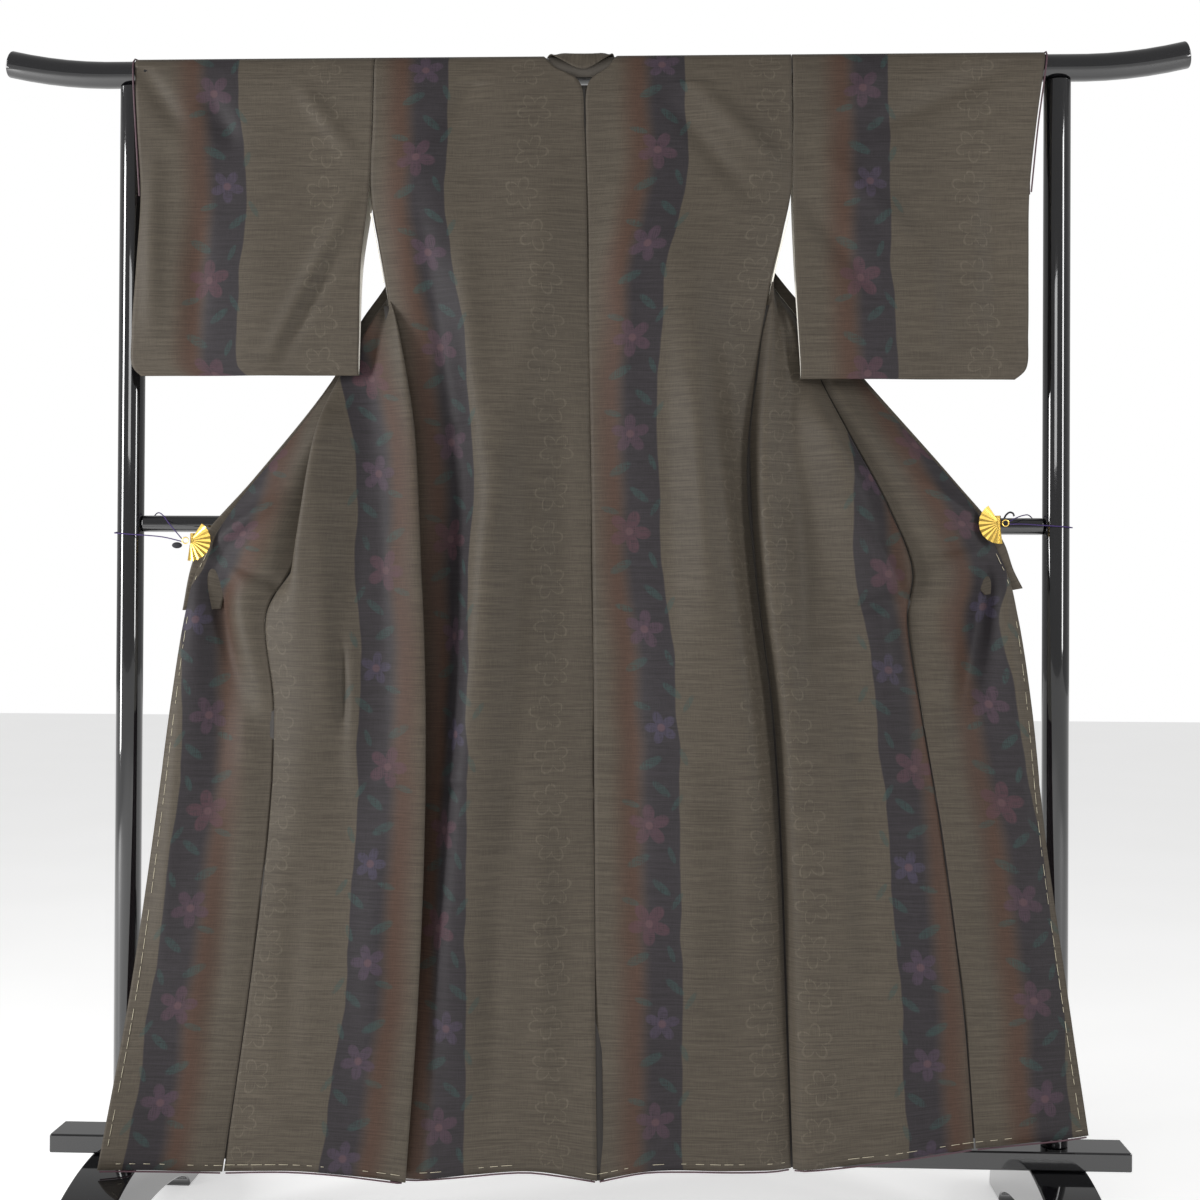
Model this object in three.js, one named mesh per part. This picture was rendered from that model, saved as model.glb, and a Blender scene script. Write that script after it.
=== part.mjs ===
// A lined silk kimono hung by its sleeves on a lacquered kimono stand, back to the front,
// its fronts drawn open to the posts by two fan clips.
// Millimetres, +Z up, origin on the floor midway between the feet. -Y is the side that the back faces.
import * as THREE from "three";
import { mergeVertices } from "three/addons/utils/BufferGeometryUtils.js";

// Stand
const POST_SPAN = 1338;
const POST_DIAMETER = 38;
const RAIL_DIAMETER = 38;
const RAIL_AXIS_HEIGHT = 1686;
const RAIL_HALF_LENGTH = 848;
const RAIL_STRAIGHT_HALF = 700;
const RAIL_TIP_RISE = 17.5;
const MID_RAIL_DIAMETER = 24;
const MID_RAIL_HEIGHT = 1029;
const BEAM_LENGTH = 1542;
const BEAM_DEPTH = 64;
const BEAM_HEIGHT = 27;
const FOOT_HEIGHT = 120;
const FOOT_HALF_LENGTH = 268;
const FOOT_WIDTH = 80;
const FOOT_ARCH_HALF = 190;
const FOOT_ARCH_HEIGHT = 45;
const EDGE_CHAMFER = 2.5;
const JOINT_GAP = 0.4;

// Cloth
const WALL = 1.4;
const WRAP_RADIUS = 21.2;
const SEAM_GAP = 0.5;
const LINING_EDGE_WIDTH = 2.4;

// Clips and cords
const FAN_RADIUS = 29;
const FAN_INNER_RADIUS = 5;
const FAN_RIBS = 9;
const FAN_PLEAT = 1.1;
const FAN_SPREAD = 153;
const FAN_TILT = 20.5;
const FAN_DEPTH = -51;
const CORD_DIAMETER = 1.6;

const lacquer = { color: 0x060607, roughness: 0.08, metalness: 0 };
const silk = { color: 0x5f584c, roughness: 0.62, metalness: 0 };
const silkDark = { color: 0x3f3a3a, roughness: 0.62, metalness: 0 };
const liningWhite = { color: 0xe6e2d8, roughness: 0.7, metalness: 0 };
const liningPlum = { color: 0x4a3238, roughness: 0.7, metalness: 0 };
const gilt = { color: 0xc9a23c, roughness: 0.28, metalness: 1 };
const cordPurple = { color: 0x2a2060, roughness: 0.8, metalness: 0 };
const cordBlack = { color: 0x0c0c10, roughness: 0.8, metalness: 0 };

const object = new THREE.Group();

// Adds one named piece; the normals are dropped so that shared corners merge.
function add(name, geometry, finish) {
  const bare = geometry.index ? geometry.toNonIndexed() : geometry.clone();
  bare.deleteAttribute("normal");
  bare.deleteAttribute("uv");
  const merged = mergeVertices(bare, 1e-4);
  merged.computeVertexNormals();
  const mesh = new THREE.Mesh(merged, new THREE.MeshStandardMaterial(finish));
  mesh.name = name;
  object.add(mesh);
  return mesh;
}

// Volume enclosed by a closed mesh, negative when its faces point inwards.
function signedVolume(positions, faces) {
  const corner = (i) => new THREE.Vector3().fromArray(positions, 3 * i);
  let total = 0;
  for (let f = 0; f < faces.length; f += 3) {
    const [a, b, c] = [corner(faces[f]), corner(faces[f + 1]), corner(faces[f + 2])];
    total += a.dot(b.cross(c)) / 6;
  }
  return total;
}

function closedGeometry(points, faces) {
  const positions = points.flatMap((p) => [p.x, p.y, p.z]);
  if (signedVolume(positions, faces) < 0) faces.reverse();
  const geometry = new THREE.BufferGeometry();
  geometry.setAttribute("position", new THREE.Float32BufferAttribute(positions, 3));
  geometry.setIndex(faces);
  return geometry;
}

// Points of a smooth curve through the given points, `steps` to each stretch between two of them.
function smooth(points, steps, closed = false) {
  const curve = new THREE.CatmullRomCurve3(points, closed, "centripetal");
  const stretches = closed ? points.length : points.length - 1;
  const count = stretches * steps;
  const result = [];
  for (let i = 0; i <= count - (closed ? 1 : 0); i++) result.push(curve.getPoint(i / count));
  return result;
}

// A smooth grid through rows of control points: `across` steps between columns, `along` between rows.
function smoothGrid(rows, across, along, ringed = false) {
  const wide = rows.map((row) => smooth(row, across, ringed));
  const lines = wide[0].map((_, j) => smooth(wide.map((row) => row[j]), along));
  return lines[0].map((_, i) => lines.map((line) => line[i]));
}

// A wall of even thickness on a grid of points. A ringed grid closes on itself across its columns.
function wallOn(grid, thickness, ringed = false) {
  const high = grid.length;
  const wide = grid[0].length;
  const at = (i, j) => grid[i][ringed ? (j + wide) % wide : THREE.MathUtils.clamp(j, 0, wide - 1)];
  const points = [];
  for (const side of [0.5, -0.5]) {
    for (let i = 0; i < high; i++) {
      for (let j = 0; j < wide; j++) {
        const below = at(Math.max(i - 1, 0), j);
        const above = at(Math.min(i + 1, high - 1), j);
        const normal = at(i, j + 1).clone().sub(at(i, j - 1));
        normal.cross(above.clone().sub(below)).normalize();
        points.push(at(i, j).clone().addScaledVector(normal, side * thickness));
      }
    }
  }
  const faces = [];
  const quad = (a, b, c, d) => faces.push(a, b, c, a, c, d);
  const outer = (i, j) => i * wide + (j % wide);
  const inner = (i, j) => high * wide + outer(i, j);
  const spans = ringed ? wide : wide - 1;
  for (let i = 0; i < high - 1; i++) {
    for (let j = 0; j < spans; j++) {
      quad(outer(i, j), outer(i, j + 1), outer(i + 1, j + 1), outer(i + 1, j));
      quad(inner(i, j), inner(i + 1, j), inner(i + 1, j + 1), inner(i, j + 1));
    }
  }
  for (let j = 0; j < spans; j++) {
    quad(outer(0, j), inner(0, j), inner(0, j + 1), outer(0, j + 1));
    quad(outer(high - 1, j), outer(high - 1, j + 1), inner(high - 1, j + 1), inner(high - 1, j));
  }
  if (!ringed) {
    for (let i = 0; i < high - 1; i++) {
      quad(outer(i, 0), outer(i + 1, 0), inner(i + 1, 0), inner(i, 0));
      quad(outer(i, wide - 1), inner(i, wide - 1), inner(i + 1, wide - 1), outer(i + 1, wide - 1));
    }
  }
  return closedGeometry(points, faces);
}

// A round bar along points.
function tube(points, diameter, sides, steps) {
  const section = new THREE.Shape();
  for (let k = 0; k < sides; k++) {
    const angle = (2 * Math.PI * k) / sides;
    const [x, y] = [0.5 * diameter * Math.cos(angle), 0.5 * diameter * Math.sin(angle)];
    if (k === 0) section.moveTo(x, y);
    else section.lineTo(x, y);
  }
  const path = new THREE.CatmullRomCurve3(points, false, "centripetal");
  return new THREE.ExtrudeGeometry(section, { steps, bevelEnabled: false, extrudePath: path });
}

// Sections of cloth. A row is a height and then the columns' places [x, y] across the cloth;
// a third number in a place is its own height, where the hem isn't level.
const toPoints = (row) => row.slice(1).map(([x, y, z]) => new THREE.Vector3(x, y, z ?? row[0]));

// Back panels. Columns: height, centre seam, middle, ridge, valley, side edge.
const BACK_LEFT = [
  [110, [20.6, -66, 107], [-75, -74, 121], [-150, -77, 116], [-228, -72, 107], [-272, -66, 106]],
  [350, [16.6, -64], [-96, -76], [-185, -84], [-226, -62], [-266, -58]],
  [600, [13.6, -62], [-86, -78], [-173, -92], [-213, -54], [-254, -50]],
  [770, [11.6, -60], [-82, -78], [-159, -98], [-203, -50], [-248, -46]],
  [965, [8.6, -58], [-76, -76], [-142, -100], [-195, -50], [-252, -42]],
  [1108, [5.6, -54], [-70, -72], [-129, -90], [-188, -52], [-258, -38]],
  [1240, [2.6, -50], [-74, -68], [-138, -76], [-205, -50], [-272, -38]],
  [1374, [-0.4, -42], [-75, -58], [-150, -58], [-228, -48], [-291, -34]],
  [1505, [-3.4, -34], [-80, -46], [-158, -40], [-238, -46], [-314, -33]],
  [1600, [-7.4, -28], [-85, -35], [-165, -31], [-240, -34], [-312, -28]],
  [1664, [-15, -23], [-90, -26], [-170, -25], [-245, -26], [-311.5, -24]],
];
const BACK_RIGHT = [
  [110, [21.4, -66, 107], [90, -74, 124], [200, -76, 127], [265, -72, 128], [291, -62, 129]],
  [350, [17.4, -64], [105, -76], [240, -80], [268, -72], [283, -58]],
  [600, [14.4, -62], [100, -78], [235, -86], [258, -72], [273, -54]],
  [770, [12.4, -60], [95, -78], [224, -92], [246, -68], [261, -50]],
  [965, [9.4, -58], [88, -76], [198, -94], [222, -64], [237, -46]],
  [1108, [6.4, -54], [80, -72], [182, -92], [208, -60], [226, -42]],
  [1240, [3.4, -50], [70, -66], [162, -84], [205, -52], [238, -40]],
  [1374, [0.4, -42], [60, -58], [144, -64], [205, -50], [259, -34]],
  [1505, [-2.6, -34], [58, -44], [135, -42], [215, -44], [288, -33]],
  [1600, [-4.8, -28], [60, -35], [138, -32], [215, -34], [289, -28]],
  [1664, [-1, -23], [60, -26], [140, -25], [220, -26], [288.5, -24]],
];

// Front panels, from the shoulder down. Columns: height, inner edge, pleat, middle, ridge, side edge.
const FRONT_LEFT = [
  [1664, [-108, 24], [-160, 25], [-210, 24], [-262, 25], [-311.5, 24]],
  [1600, [-150, 20], [-190, 18], [-232, 22], [-275, 18], [-312, 22]],
  [1505, [-218, 16], [-240, 10], [-266, 6], [-292, 8], [-314, 10]],
  [1440, [-262, 16], [-270, 12], [-282, 7], [-296, 2], [-308, -2]],
  [1374, [-284, 12], [-287, 8], [-291, -2], [-292, -22], [-294, -16]],
  [1320, [-308, -12], [-309, -34], [-293, -32], [-274, -48], [-284, -22]],
  [1240, [-340, -16], [-357, -28], [-308, -42], [-256, -66], [-274, -28]],
  [1160, [-362, -38], [-380, -76], [-312, -54], [-243, -78], [-262, -32]],
  [1050, [-384, -46], [-399, -84], [-316, -60], [-235, -86], [-256, -36]],
  [965, [-416, -56], [-408, -88], [-320, -66], [-230, -92], [-254, -48]],
  [900, [-453, -58], [-404, -84], [-322, -68], [-226, -94], [-252, -52]],
  [770, [-441, -60], [-392, -80], [-325, -70], [-222, -94], [-249, -52]],
  [600, [-446, -64], [-400, -78], [-330, -72], [-222, -92], [-254, -56]],
  [350, [-474, -68], [-410, -76], [-335, -74], [-231, -86], [-266, -64]],
  [110, [-507, -69, 111], [-420, -73, 115], [-340, -75, 112], [-247, -82, 105], [-272, -72, 106]],
];
const FRONT_RIGHT = [
  [1664, [52, 24], [120, 25], [180, 24], [240, 25], [288.5, 24]],
  [1600, [104, 20], [150, 18], [205, 22], [250, 18], [289, 22]],
  [1505, [184, 16], [208, 10], [238, 6], [268, 8], [288, 10]],
  [1440, [232, 16], [240, 12], [252, 7], [266, 2], [276, -2]],
  [1374, [266, 12], [265, 8], [263, -2], [264, -20], [261, -26]],
  [1320, [300, -12], [286, -34], [274, -30], [262, -42], [251, -32]],
  [1240, [330, -16], [310, -30], [284, -40], [256, -58], [241, -46]],
  [1160, [366, -48], [340, -74], [292, -54], [248, -68], [231.5, -46]],
  [1050, [424, -56], [385, -80], [312, -58], [248, -76], [234, -48]],
  [965, [456, -58], [410, -84], [332, -62], [257, -82], [240, -50]],
  [900, [449, -60], [410, -82], [346, -66], [264, -84], [247, -52]],
  [770, [467, -64], [425, -80], [370, -70], [282, -86], [264, -54]],
  [600, [496, -66], [440, -78], [380, -72], [293, -84], [276, -58]],
  [350, [528, -68], [460, -76], [390, -74], [302, -80], [286, -62]],
  [110, [543, -69, 163], [470, -74, 152], [400, -74, 141], [309, -76, 131], [294, -66, 129]],
];

// Overlap panels, top down. Columns: height, seam, ridge, trough, lip, front edge.
const OVERLAP_LEFT = [
  [1424, [-270, 18.5], [-271, 18.6], [-272, 18.7], [-273, 18.8], [-274, 19]],
  [1374, [-286, 14.5], [-290, 14], [-294, 14], [-298, 14], [-302, 15]],
  [1320, [-310.5, -12], [-316, -12], [-322, -9], [-328, -5], [-334, -2]],
  [1240, [-342.5, -15], [-349, -17], [-356, -14], [-362, -10], [-368, -7]],
  [1160, [-364.5, -38], [-384, -46], [-398, -42], [-410, -35], [-420, -26]],
  [1050, [-386.5, -46], [-430, -60], [-465, -52], [-490, -44], [-508, -34]],
  [965, [-418.5, -56], [-470, -66], [-532, -44], [-548, -44], [-558, -41]],
  [900, [-454.5, -58], [-495, -65], [-530, -42], [-556, -50], [-574, -45]],
  [770, [-442.5, -60], [-480, -63], [-515, -46], [-560, -58], [-592, -48]],
  [600, [-447.5, -64], [-490, -67], [-530, -59], [-575, -62], [-614, -50]],
  [350, [-475.5, -68], [-520, -70], [-560, -70], [-605, -70], [-645, -66]],
  [110, [-508.5, -69, 111], [-556, -75, 113], [-606, -84, 116], [-643, -94, 119], [-677, -100, 120]],
];
const OVERLAP_RIGHT = [
  [1424, [244, 18.5], [245, 18.6], [246, 18.7], [247, 18.8], [248, 19]],
  [1374, [268, 14.5], [273, 14], [278, 14], [282, 14], [286, 15]],
  [1320, [302.5, -11], [308, -12], [315, -10], [322, -7], [328, -4]],
  [1240, [332.5, -15], [345, -20], [360, -16], [375, -11], [388, -7]],
  [1160, [368.5, -48], [390, -54], [412, -46], [436, -36], [455, -26]],
  [1050, [426.5, -56], [455, -62], [490, -54], [520, -46], [548, -35]],
  [965, [458.5, -58], [500, -66], [556, -46], [578, -46], [591, -41]],
  [900, [451.5, -60], [505, -66], [560, -44], [590, -52], [606, -45]],
  [770, [469.5, -64], [510, -65], [555, -50], [595, -58], [625, -48]],
  [600, [498.5, -66], [535, -67], [570, -60], [607, -62], [643, -50]],
  [350, [530.5, -68], [567, -69], [603, -67], [640, -64], [678, -54]],
  [110, [545.5, -69, 163], [585, -69, 168], [625, -67, 172], [665, -64, 176], [703, -58, 180]],
];

// Turn over the rail, front to back. Columns: angle from the front, then each strip's neck edge.
const OVER_RAIL = [
  { angle: 0, left: -50, right: 26 },
  { angle: 45, left: -64, right: 36 },
  { angle: 90, left: -70, right: 40 },
  { angle: 135, left: -80, right: 40 },
  { angle: 180, left: -92, right: 40 },
];

function railRow({ angle, left, right }, side, sideEdge) {
  const turn = THREE.MathUtils.degToRad(angle);
  const y = -WRAP_RADIUS * Math.cos(turn);
  const z = RAIL_AXIS_HEIGHT + WRAP_RADIUS * Math.sin(turn);
  const neck = side < 0 ? left : right;
  return [0, 1, 2, 3, 4].map((k) => new THREE.Vector3(neck + ((sideEdge - neck) * k) / 4, y, z));
}

// One strip of cloth for back and front, from the back hem over the rail to the front hem.
function bodyStrip(back, front, side, sideEdge) {
  const over = OVER_RAIL.map((row) => railRow(row, side, sideEdge));
  return [...back.map(toPoints), ...over, ...front.map(toPoints)];
}

const stripLeft = bodyStrip(BACK_LEFT, FRONT_LEFT, -1, -311.5);
const stripRight = bodyStrip(BACK_RIGHT, FRONT_RIGHT, 1, 288.5);
add("body_left", wallOn(smoothGrid(stripLeft, 2, 2), WALL), silk);
add("body_right", wallOn(smoothGrid(stripRight, 2, 2), WALL), silk);
add("overlap_left", wallOn(smoothGrid(OVERLAP_LEFT.map(toPoints), 2, 2), WALL), silkDark);
add("overlap_right", wallOn(smoothGrid(OVERLAP_RIGHT.map(toPoints), 2, 2), WALL), silkDark);

// Sleeves: one strip folded over the rail and sewn along the bottom. A row is a place round the sleeve.
// Columns: height, depth at the armhole, depth at the cuff, armhole edge, cuff edge.
const SLEEVE_LEFT = [
  [1707.2, 0, 0, -312.5, -662],
  [1701, -15, -15, -312.5, -662],
  [1686, -21.2, -21.2, -312.5, -661],
  [1600, -27, -27, -313.5, -655],
  [1500, -33, -35, -316.5, -646],
  [1400, -42, -44, -325.5, -649],
  [1300, -50, -48, -325.5, -654],
  [1252, -51, -47, -326, -653],
  [1239, -47, -45, -326, -641],
  [1252, -43, -43, -326, -653],
  [1300, -37, -44, -326, -654],
  [1400, -17, -40, -326, -649],
  [1500, 4, -27, -316.5, -644],
  [1600, 18, 8, -313.5, -644],
  [1664, 22.5, 21, -312.5, -646],
  [1686, 21.2, 21.2, -312.5, -647],
  [1701, 15, 15, -312.5, -650],
];
const SLEEVE_RIGHT = [
  [1707.2, 0, 0, 290, 648],
  [1701, -15, -15, 290, 648],
  [1686, -21.2, -21.2, 290, 646],
  [1600, -27, -27, 290.6, 634],
  [1500, -35, -33, 290.4, 623],
  [1400, -43, -38, 293, 621],
  [1300, -49, -42, 298, 620],
  [1248, -50, -42, 301, 617],
  [1234, -46, -40, 301, 602],
  [1248, -42, -38, 301, 617],
  [1300, -36, -38, 298, 620],
  [1400, -14, -34, 293, 621],
  [1500, 8, -20, 290.4, 623],
  [1600, 20, 12, 290.6, 630],
  [1664, 22.5, 22, 290, 636],
  [1686, 21.2, 21.2, 290, 640],
  [1701, 15, 15, 290, 644],
];
const SLEEVE_STATIONS = [0, 0.25, 0.5, 0.75, 1];
const SLEEVE_WAVE = [0, -3, 1, -4, 0];

function sleeveRings(table) {
  return SLEEVE_STATIONS.map((t, k) => table.map(([z, yArm, yCuff, xArm, xCuff]) => {
    const hang = THREE.MathUtils.clamp((RAIL_AXIS_HEIGHT - z) / 200, 0, 1);
    const y = THREE.MathUtils.lerp(yArm, yCuff, t) + hang * SLEEVE_WAVE[k];
    return new THREE.Vector3(THREE.MathUtils.lerp(xArm, xCuff, t), y, z);
  }));
}

const ringsLeft = sleeveRings(SLEEVE_LEFT);
const ringsRight = sleeveRings(SLEEVE_RIGHT);
add("sleeve_left", wallOn(smoothGrid(ringsLeft, 2, 1, true), WALL, true), silk);
add("sleeve_right", wallOn(smoothGrid(ringsRight, 2, 1, true), WALL, true), silk);

// Collar, one band from the left front over the neck to the right front.
// Columns: seam edge [x, y, z], free edge [x, y, z].
const COLLAR_LEFT = [
  [[-580, -40, 903], [-526, -34, 905]],
  [[-569, -37, 965], [-515, -33, 950]],
  [[-553, -33, 1008], [-504, -29, 984]],
  [[-482, -22, 1094], [-440, -20, 1062]],
  [[-375, -6, 1234], [-333, -4, 1200]],
  [[-301, 19, 1372], [-259, 22, 1340]],
  [[-212, 22, 1500], [-170, 24, 1468]],
  [[-142, 25, 1600], [-100, 26, 1568]],
  [[-98, 27, 1664], [-58, 28, 1632]],
];
const COLLAR_RIGHT = [
  [[46, 27, 1664], [10, 28, 1628]],
  [[95, 25, 1600], [57, 26, 1562]],
  [[172, 22, 1500], [134, 24, 1462]],
  [[286, 19, 1372], [246, 22, 1336]],
  [[400, -6, 1234], [364, -4, 1196]],
  [[520, -22, 1094], [482, -20, 1056]],
  [[586, -33, 1010], [545, -29, 975]],
  [[602, -37, 965], [550, -33, 946]],
  [[614, -40, 940], [562, -34, 930]],
];
// Where the collar lies over the rail: seam edge and free edge in x, the angle round the rail
// at which the seam edge starts, and the height of the free edge behind the rail.
const COLLAR_NECK = [
  { seam: -73, free: -42, angle: 150, height: 1650 },
  { seam: -60, free: -34, angle: 92, height: 1662 },
  { seam: -48, free: -26, angle: 38, height: 1670 },
  { seam: -9, free: -9, angle: -8, height: 1674 },
  { seam: 24, free: 8, angle: 38, height: 1670 },
  { seam: 33, free: 14, angle: 92, height: 1662 },
  { seam: 36, free: 16, angle: 150, height: 1650 },
];
const COLLAR_RADIUS = 25;
const COLLAR_STEPS = [0, 0.25, 0.5, 0.75, 1];

function collarLine([seam, free]) {
  const [from, to] = [new THREE.Vector3(...seam), new THREE.Vector3(...free)];
  return COLLAR_STEPS.map((t) => from.clone().lerp(to, t));
}

function collarOverRail({ seam, free, angle, height }) {
  const start = THREE.MathUtils.degToRad(angle);
  const arc = COLLAR_RADIUS * (Math.PI - start);
  return COLLAR_STEPS.map((t) => {
    const run = t * (arc + RAIL_AXIS_HEIGHT - height);
    const turn = start + Math.min(run, arc) / COLLAR_RADIUS;
    const below = Math.max(0, run - arc);
    const z = RAIL_AXIS_HEIGHT + COLLAR_RADIUS * Math.sin(turn) - below;
    return new THREE.Vector3(THREE.MathUtils.lerp(seam, free, t), -COLLAR_RADIUS * Math.cos(turn), z);
  });
}

const collarRows = [
  ...COLLAR_LEFT.map(collarLine),
  ...COLLAR_NECK.map(collarOverRail),
  ...COLLAR_RIGHT.map(collarLine),
];
add("collar", wallOn(smoothGrid(collarRows, 1, 2), WALL), silk);

// What a fold of the lining shows past the outer cloth: a thin edge along a row of the panel's points.
function liningEdge(name, points, shift, finish) {
  const moved = points.map((p) => p.clone().add(shift));
  add(name, tube(moved, LINING_EDGE_WIDTH, 6, 2 * (moved.length - 1)), finish);
}

const drop = new THREE.Vector3(0, 0, -(LINING_EDGE_WIDTH / 2 + 2 * SEAM_GAP));
const hemTrim = 3;
for (const [side, strip, overlap] of [
  ["left", stripLeft, OVERLAP_LEFT],
  ["right", stripRight, OVERLAP_RIGHT],
]) {
  const hems = {
    back: strip[0],
    front: strip[strip.length - 1],
    overlap: toPoints(overlap[overlap.length - 1]),
  };
  for (const [panel, row] of Object.entries(hems)) {
    const line = smooth(row, 2);
    const first = line[0].clone().lerp(line[1], hemTrim / line[0].distanceTo(line[1]));
    const last = line.at(-1).clone().lerp(line.at(-2), hemTrim / line.at(-1).distanceTo(line.at(-2)));
    liningEdge(`hem_lining_${panel}_${side}`, [first, ...line.slice(1, -1), last], drop, liningPlum);
  }
}

// The sleeve opening shows the plum lining from the sewn lower part up over the rail and down behind;
// the open armhole of the back panel shows the white one.
const CUFF_OPENING = [4, 3, 2, 1, 0, 16, 15, 14, 13, 12];
const ARMHOLE_ROWS = [7, 8];
const edgeShift = LINING_EDGE_WIDTH / 2 + 3 * SEAM_GAP;
const RAIL_CLEARANCE = 1.06;

// Over the rail the edge stands a little further out than the cloth.
function awayFromRail({ x, y, z }) {
  if (z < RAIL_AXIS_HEIGHT) return new THREE.Vector3(x, y, z);
  return new THREE.Vector3(x, y * RAIL_CLEARANCE, RAIL_AXIS_HEIGHT + (z - RAIL_AXIS_HEIGHT) * RAIL_CLEARANCE);
}

for (const [side, rings, strip, out] of [
  ["left", ringsLeft, stripLeft, -1],
  ["right", ringsRight, stripRight, 1],
]) {
  const shift = new THREE.Vector3(out * edgeShift, 0, 0);
  const cuff = CUFF_OPENING.map((k) => awayFromRail(rings.at(-1)[k]));
  liningEdge(`cuff_lining_${side}`, smooth(cuff, 2), shift, liningPlum);
  const sideEdge = smooth(strip.map((row) => row.at(-1)), 4);
  const [bottom, top] = ARMHOLE_ROWS.map((k) => 4 * k);
  liningEdge(`armhole_lining_${side}`, sideEdge.slice(bottom, top), shift, liningWhite);
}

// Stand
const across = new THREE.Matrix4().makeBasis(
  new THREE.Vector3(0, 1, 0),
  new THREE.Vector3(0, 0, 1),
  new THREE.Vector3(1, 0, 0),
);

// A bar along X from a section drawn in Y and Z, with its end edges chamfered.
function barAlongX(section, length, chamfer) {
  const geometry = new THREE.ExtrudeGeometry(section, {
    depth: length - 2 * chamfer,
    bevelThickness: chamfer,
    bevelSize: chamfer,
    bevelOffset: -chamfer,
    bevelSegments: 2,
    curveSegments: 14,
  });
  geometry.translate(0, 0, chamfer - length / 2);
  return geometry.applyMatrix4(across);
}

function railPath() {
  const points = [];
  for (const x of [-RAIL_HALF_LENGTH, -812, -776, -738, -RAIL_STRAIGHT_HALF, -350, 0]) {
    const past = Math.max(0, -x - RAIL_STRAIGHT_HALF) / (RAIL_HALF_LENGTH - RAIL_STRAIGHT_HALF);
    points.push(new THREE.Vector3(x, 0, RAIL_AXIS_HEIGHT + RAIL_TIP_RISE * past ** 2));
  }
  const mirrored = points.slice(0, -1).reverse();
  return [...points, ...mirrored.map((p) => new THREE.Vector3(-p.x, 0, p.z))];
}
add("top_rail", tube(railPath(), RAIL_DIAMETER, 20, 30), lacquer);

const beamTop = FOOT_HEIGHT + JOINT_GAP + BEAM_HEIGHT;
const postTop = RAIL_AXIS_HEIGHT - RAIL_DIAMETER / 2 - JOINT_GAP;
const postHeight = postTop - beamTop - JOINT_GAP;
const footProfile = new THREE.Shape();
footProfile.moveTo(FOOT_HALF_LENGTH, 0);
footProfile.absellipse(0, 0, FOOT_HALF_LENGTH, FOOT_HEIGHT, 0, Math.PI);
footProfile.lineTo(-FOOT_ARCH_HALF, 0);
footProfile.absellipse(0, 0, FOOT_ARCH_HALF, FOOT_ARCH_HEIGHT, Math.PI, 0, true);
const halfDepth = BEAM_DEPTH / 2;
const beamSection = new THREE.Shape([
  new THREE.Vector2(-halfDepth, 0),
  new THREE.Vector2(halfDepth, 0),
  new THREE.Vector2(halfDepth, BEAM_HEIGHT),
  new THREE.Vector2(-halfDepth, BEAM_HEIGHT),
]);
const beam = add("base_beam", barAlongX(beamSection, BEAM_LENGTH, EDGE_CHAMFER), lacquer);
beam.position.z = FOOT_HEIGHT + JOINT_GAP;

for (const [side, x] of [["left", -POST_SPAN / 2], ["right", POST_SPAN / 2]]) {
  const shaft = new THREE.CylinderGeometry(POST_DIAMETER / 2, POST_DIAMETER / 2, postHeight, 32);
  const post = add(`post_${side}`, shaft.rotateX(Math.PI / 2), lacquer);
  post.position.set(x, 0, beamTop + JOINT_GAP + postHeight / 2);
  add(`foot_${side}`, barAlongX(footProfile, FOOT_WIDTH, EDGE_CHAMFER), lacquer).position.x = x;
}

const midLength = POST_SPAN - POST_DIAMETER - 2 * JOINT_GAP;
const midShaft = new THREE.CylinderGeometry(MID_RAIL_DIAMETER / 2, MID_RAIL_DIAMETER / 2, midLength, 24);
add("mid_rail", midShaft.rotateZ(Math.PI / 2), lacquer).position.z = MID_RAIL_HEIGHT;

// Clips: a gilt fan in front of the cloth, a plain jaw behind it, a hinge barrel and a cord ring.
// Columns: pivot [x, z], and the way the clip points.
const CLIPS = [
  { side: "left", x: -566, z: 1002.5, toPost: -1 },
  { side: "right", x: 579.5, z: 1031, toPost: 1 },
];
const HINGE_RADIUS = 4;
const HINGE_LENGTH = 22;
const JAW_DEPTH = -24;
const RING_RADIUS = 4.4;
const RING_WIRE = 1.6;

function fanGeometry(toPost) {
  const rows = [FAN_INNER_RADIUS, FAN_RADIUS].map((radius) => {
    const row = [];
    for (let k = 0; k <= 2 * FAN_RIBS; k++) {
      const turn = THREE.MathUtils.degToRad(-FAN_TILT + FAN_SPREAD * (k / (2 * FAN_RIBS) - 0.5));
      const pleat = (k % 2 ? 1 : -1) * FAN_PLEAT * (radius / FAN_RADIUS);
      row.push(new THREE.Vector3(-toPost * radius * Math.cos(turn), pleat, radius * Math.sin(turn)));
    }
    return row;
  });
  return wallOn(rows, 1);
}

for (const { side, x, z, toPost } of CLIPS) {
  add(`clip_fan_${side}`, fanGeometry(toPost), gilt).position.set(x, FAN_DEPTH, z);
  const jaw = new THREE.BoxGeometry(22, 1.4, 20);
  add(`clip_jaw_${side}`, jaw, gilt).position.set(x - toPost * 14, JAW_DEPTH, z);
  const barrel = new THREE.CylinderGeometry(HINGE_RADIUS, HINGE_RADIUS, HINGE_LENGTH, 16);
  const hinge = add(`clip_hinge_${side}`, barrel.rotateX(Math.PI / 2), gilt);
  hinge.position.set(x, FAN_DEPTH + HINGE_LENGTH / 2 + 2.2, z);
  const ring = new THREE.TorusGeometry(RING_RADIUS, RING_WIRE / 2, 8, 20).rotateX(Math.PI / 2);
  const ringX = x + toPost * (HINGE_RADIUS + RING_RADIUS + RING_WIRE / 2 + JOINT_GAP);
  add(`clip_ring_${side}`, ring, gilt).position.set(ringX, FAN_DEPTH + 8, z + 0.5);
}

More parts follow.
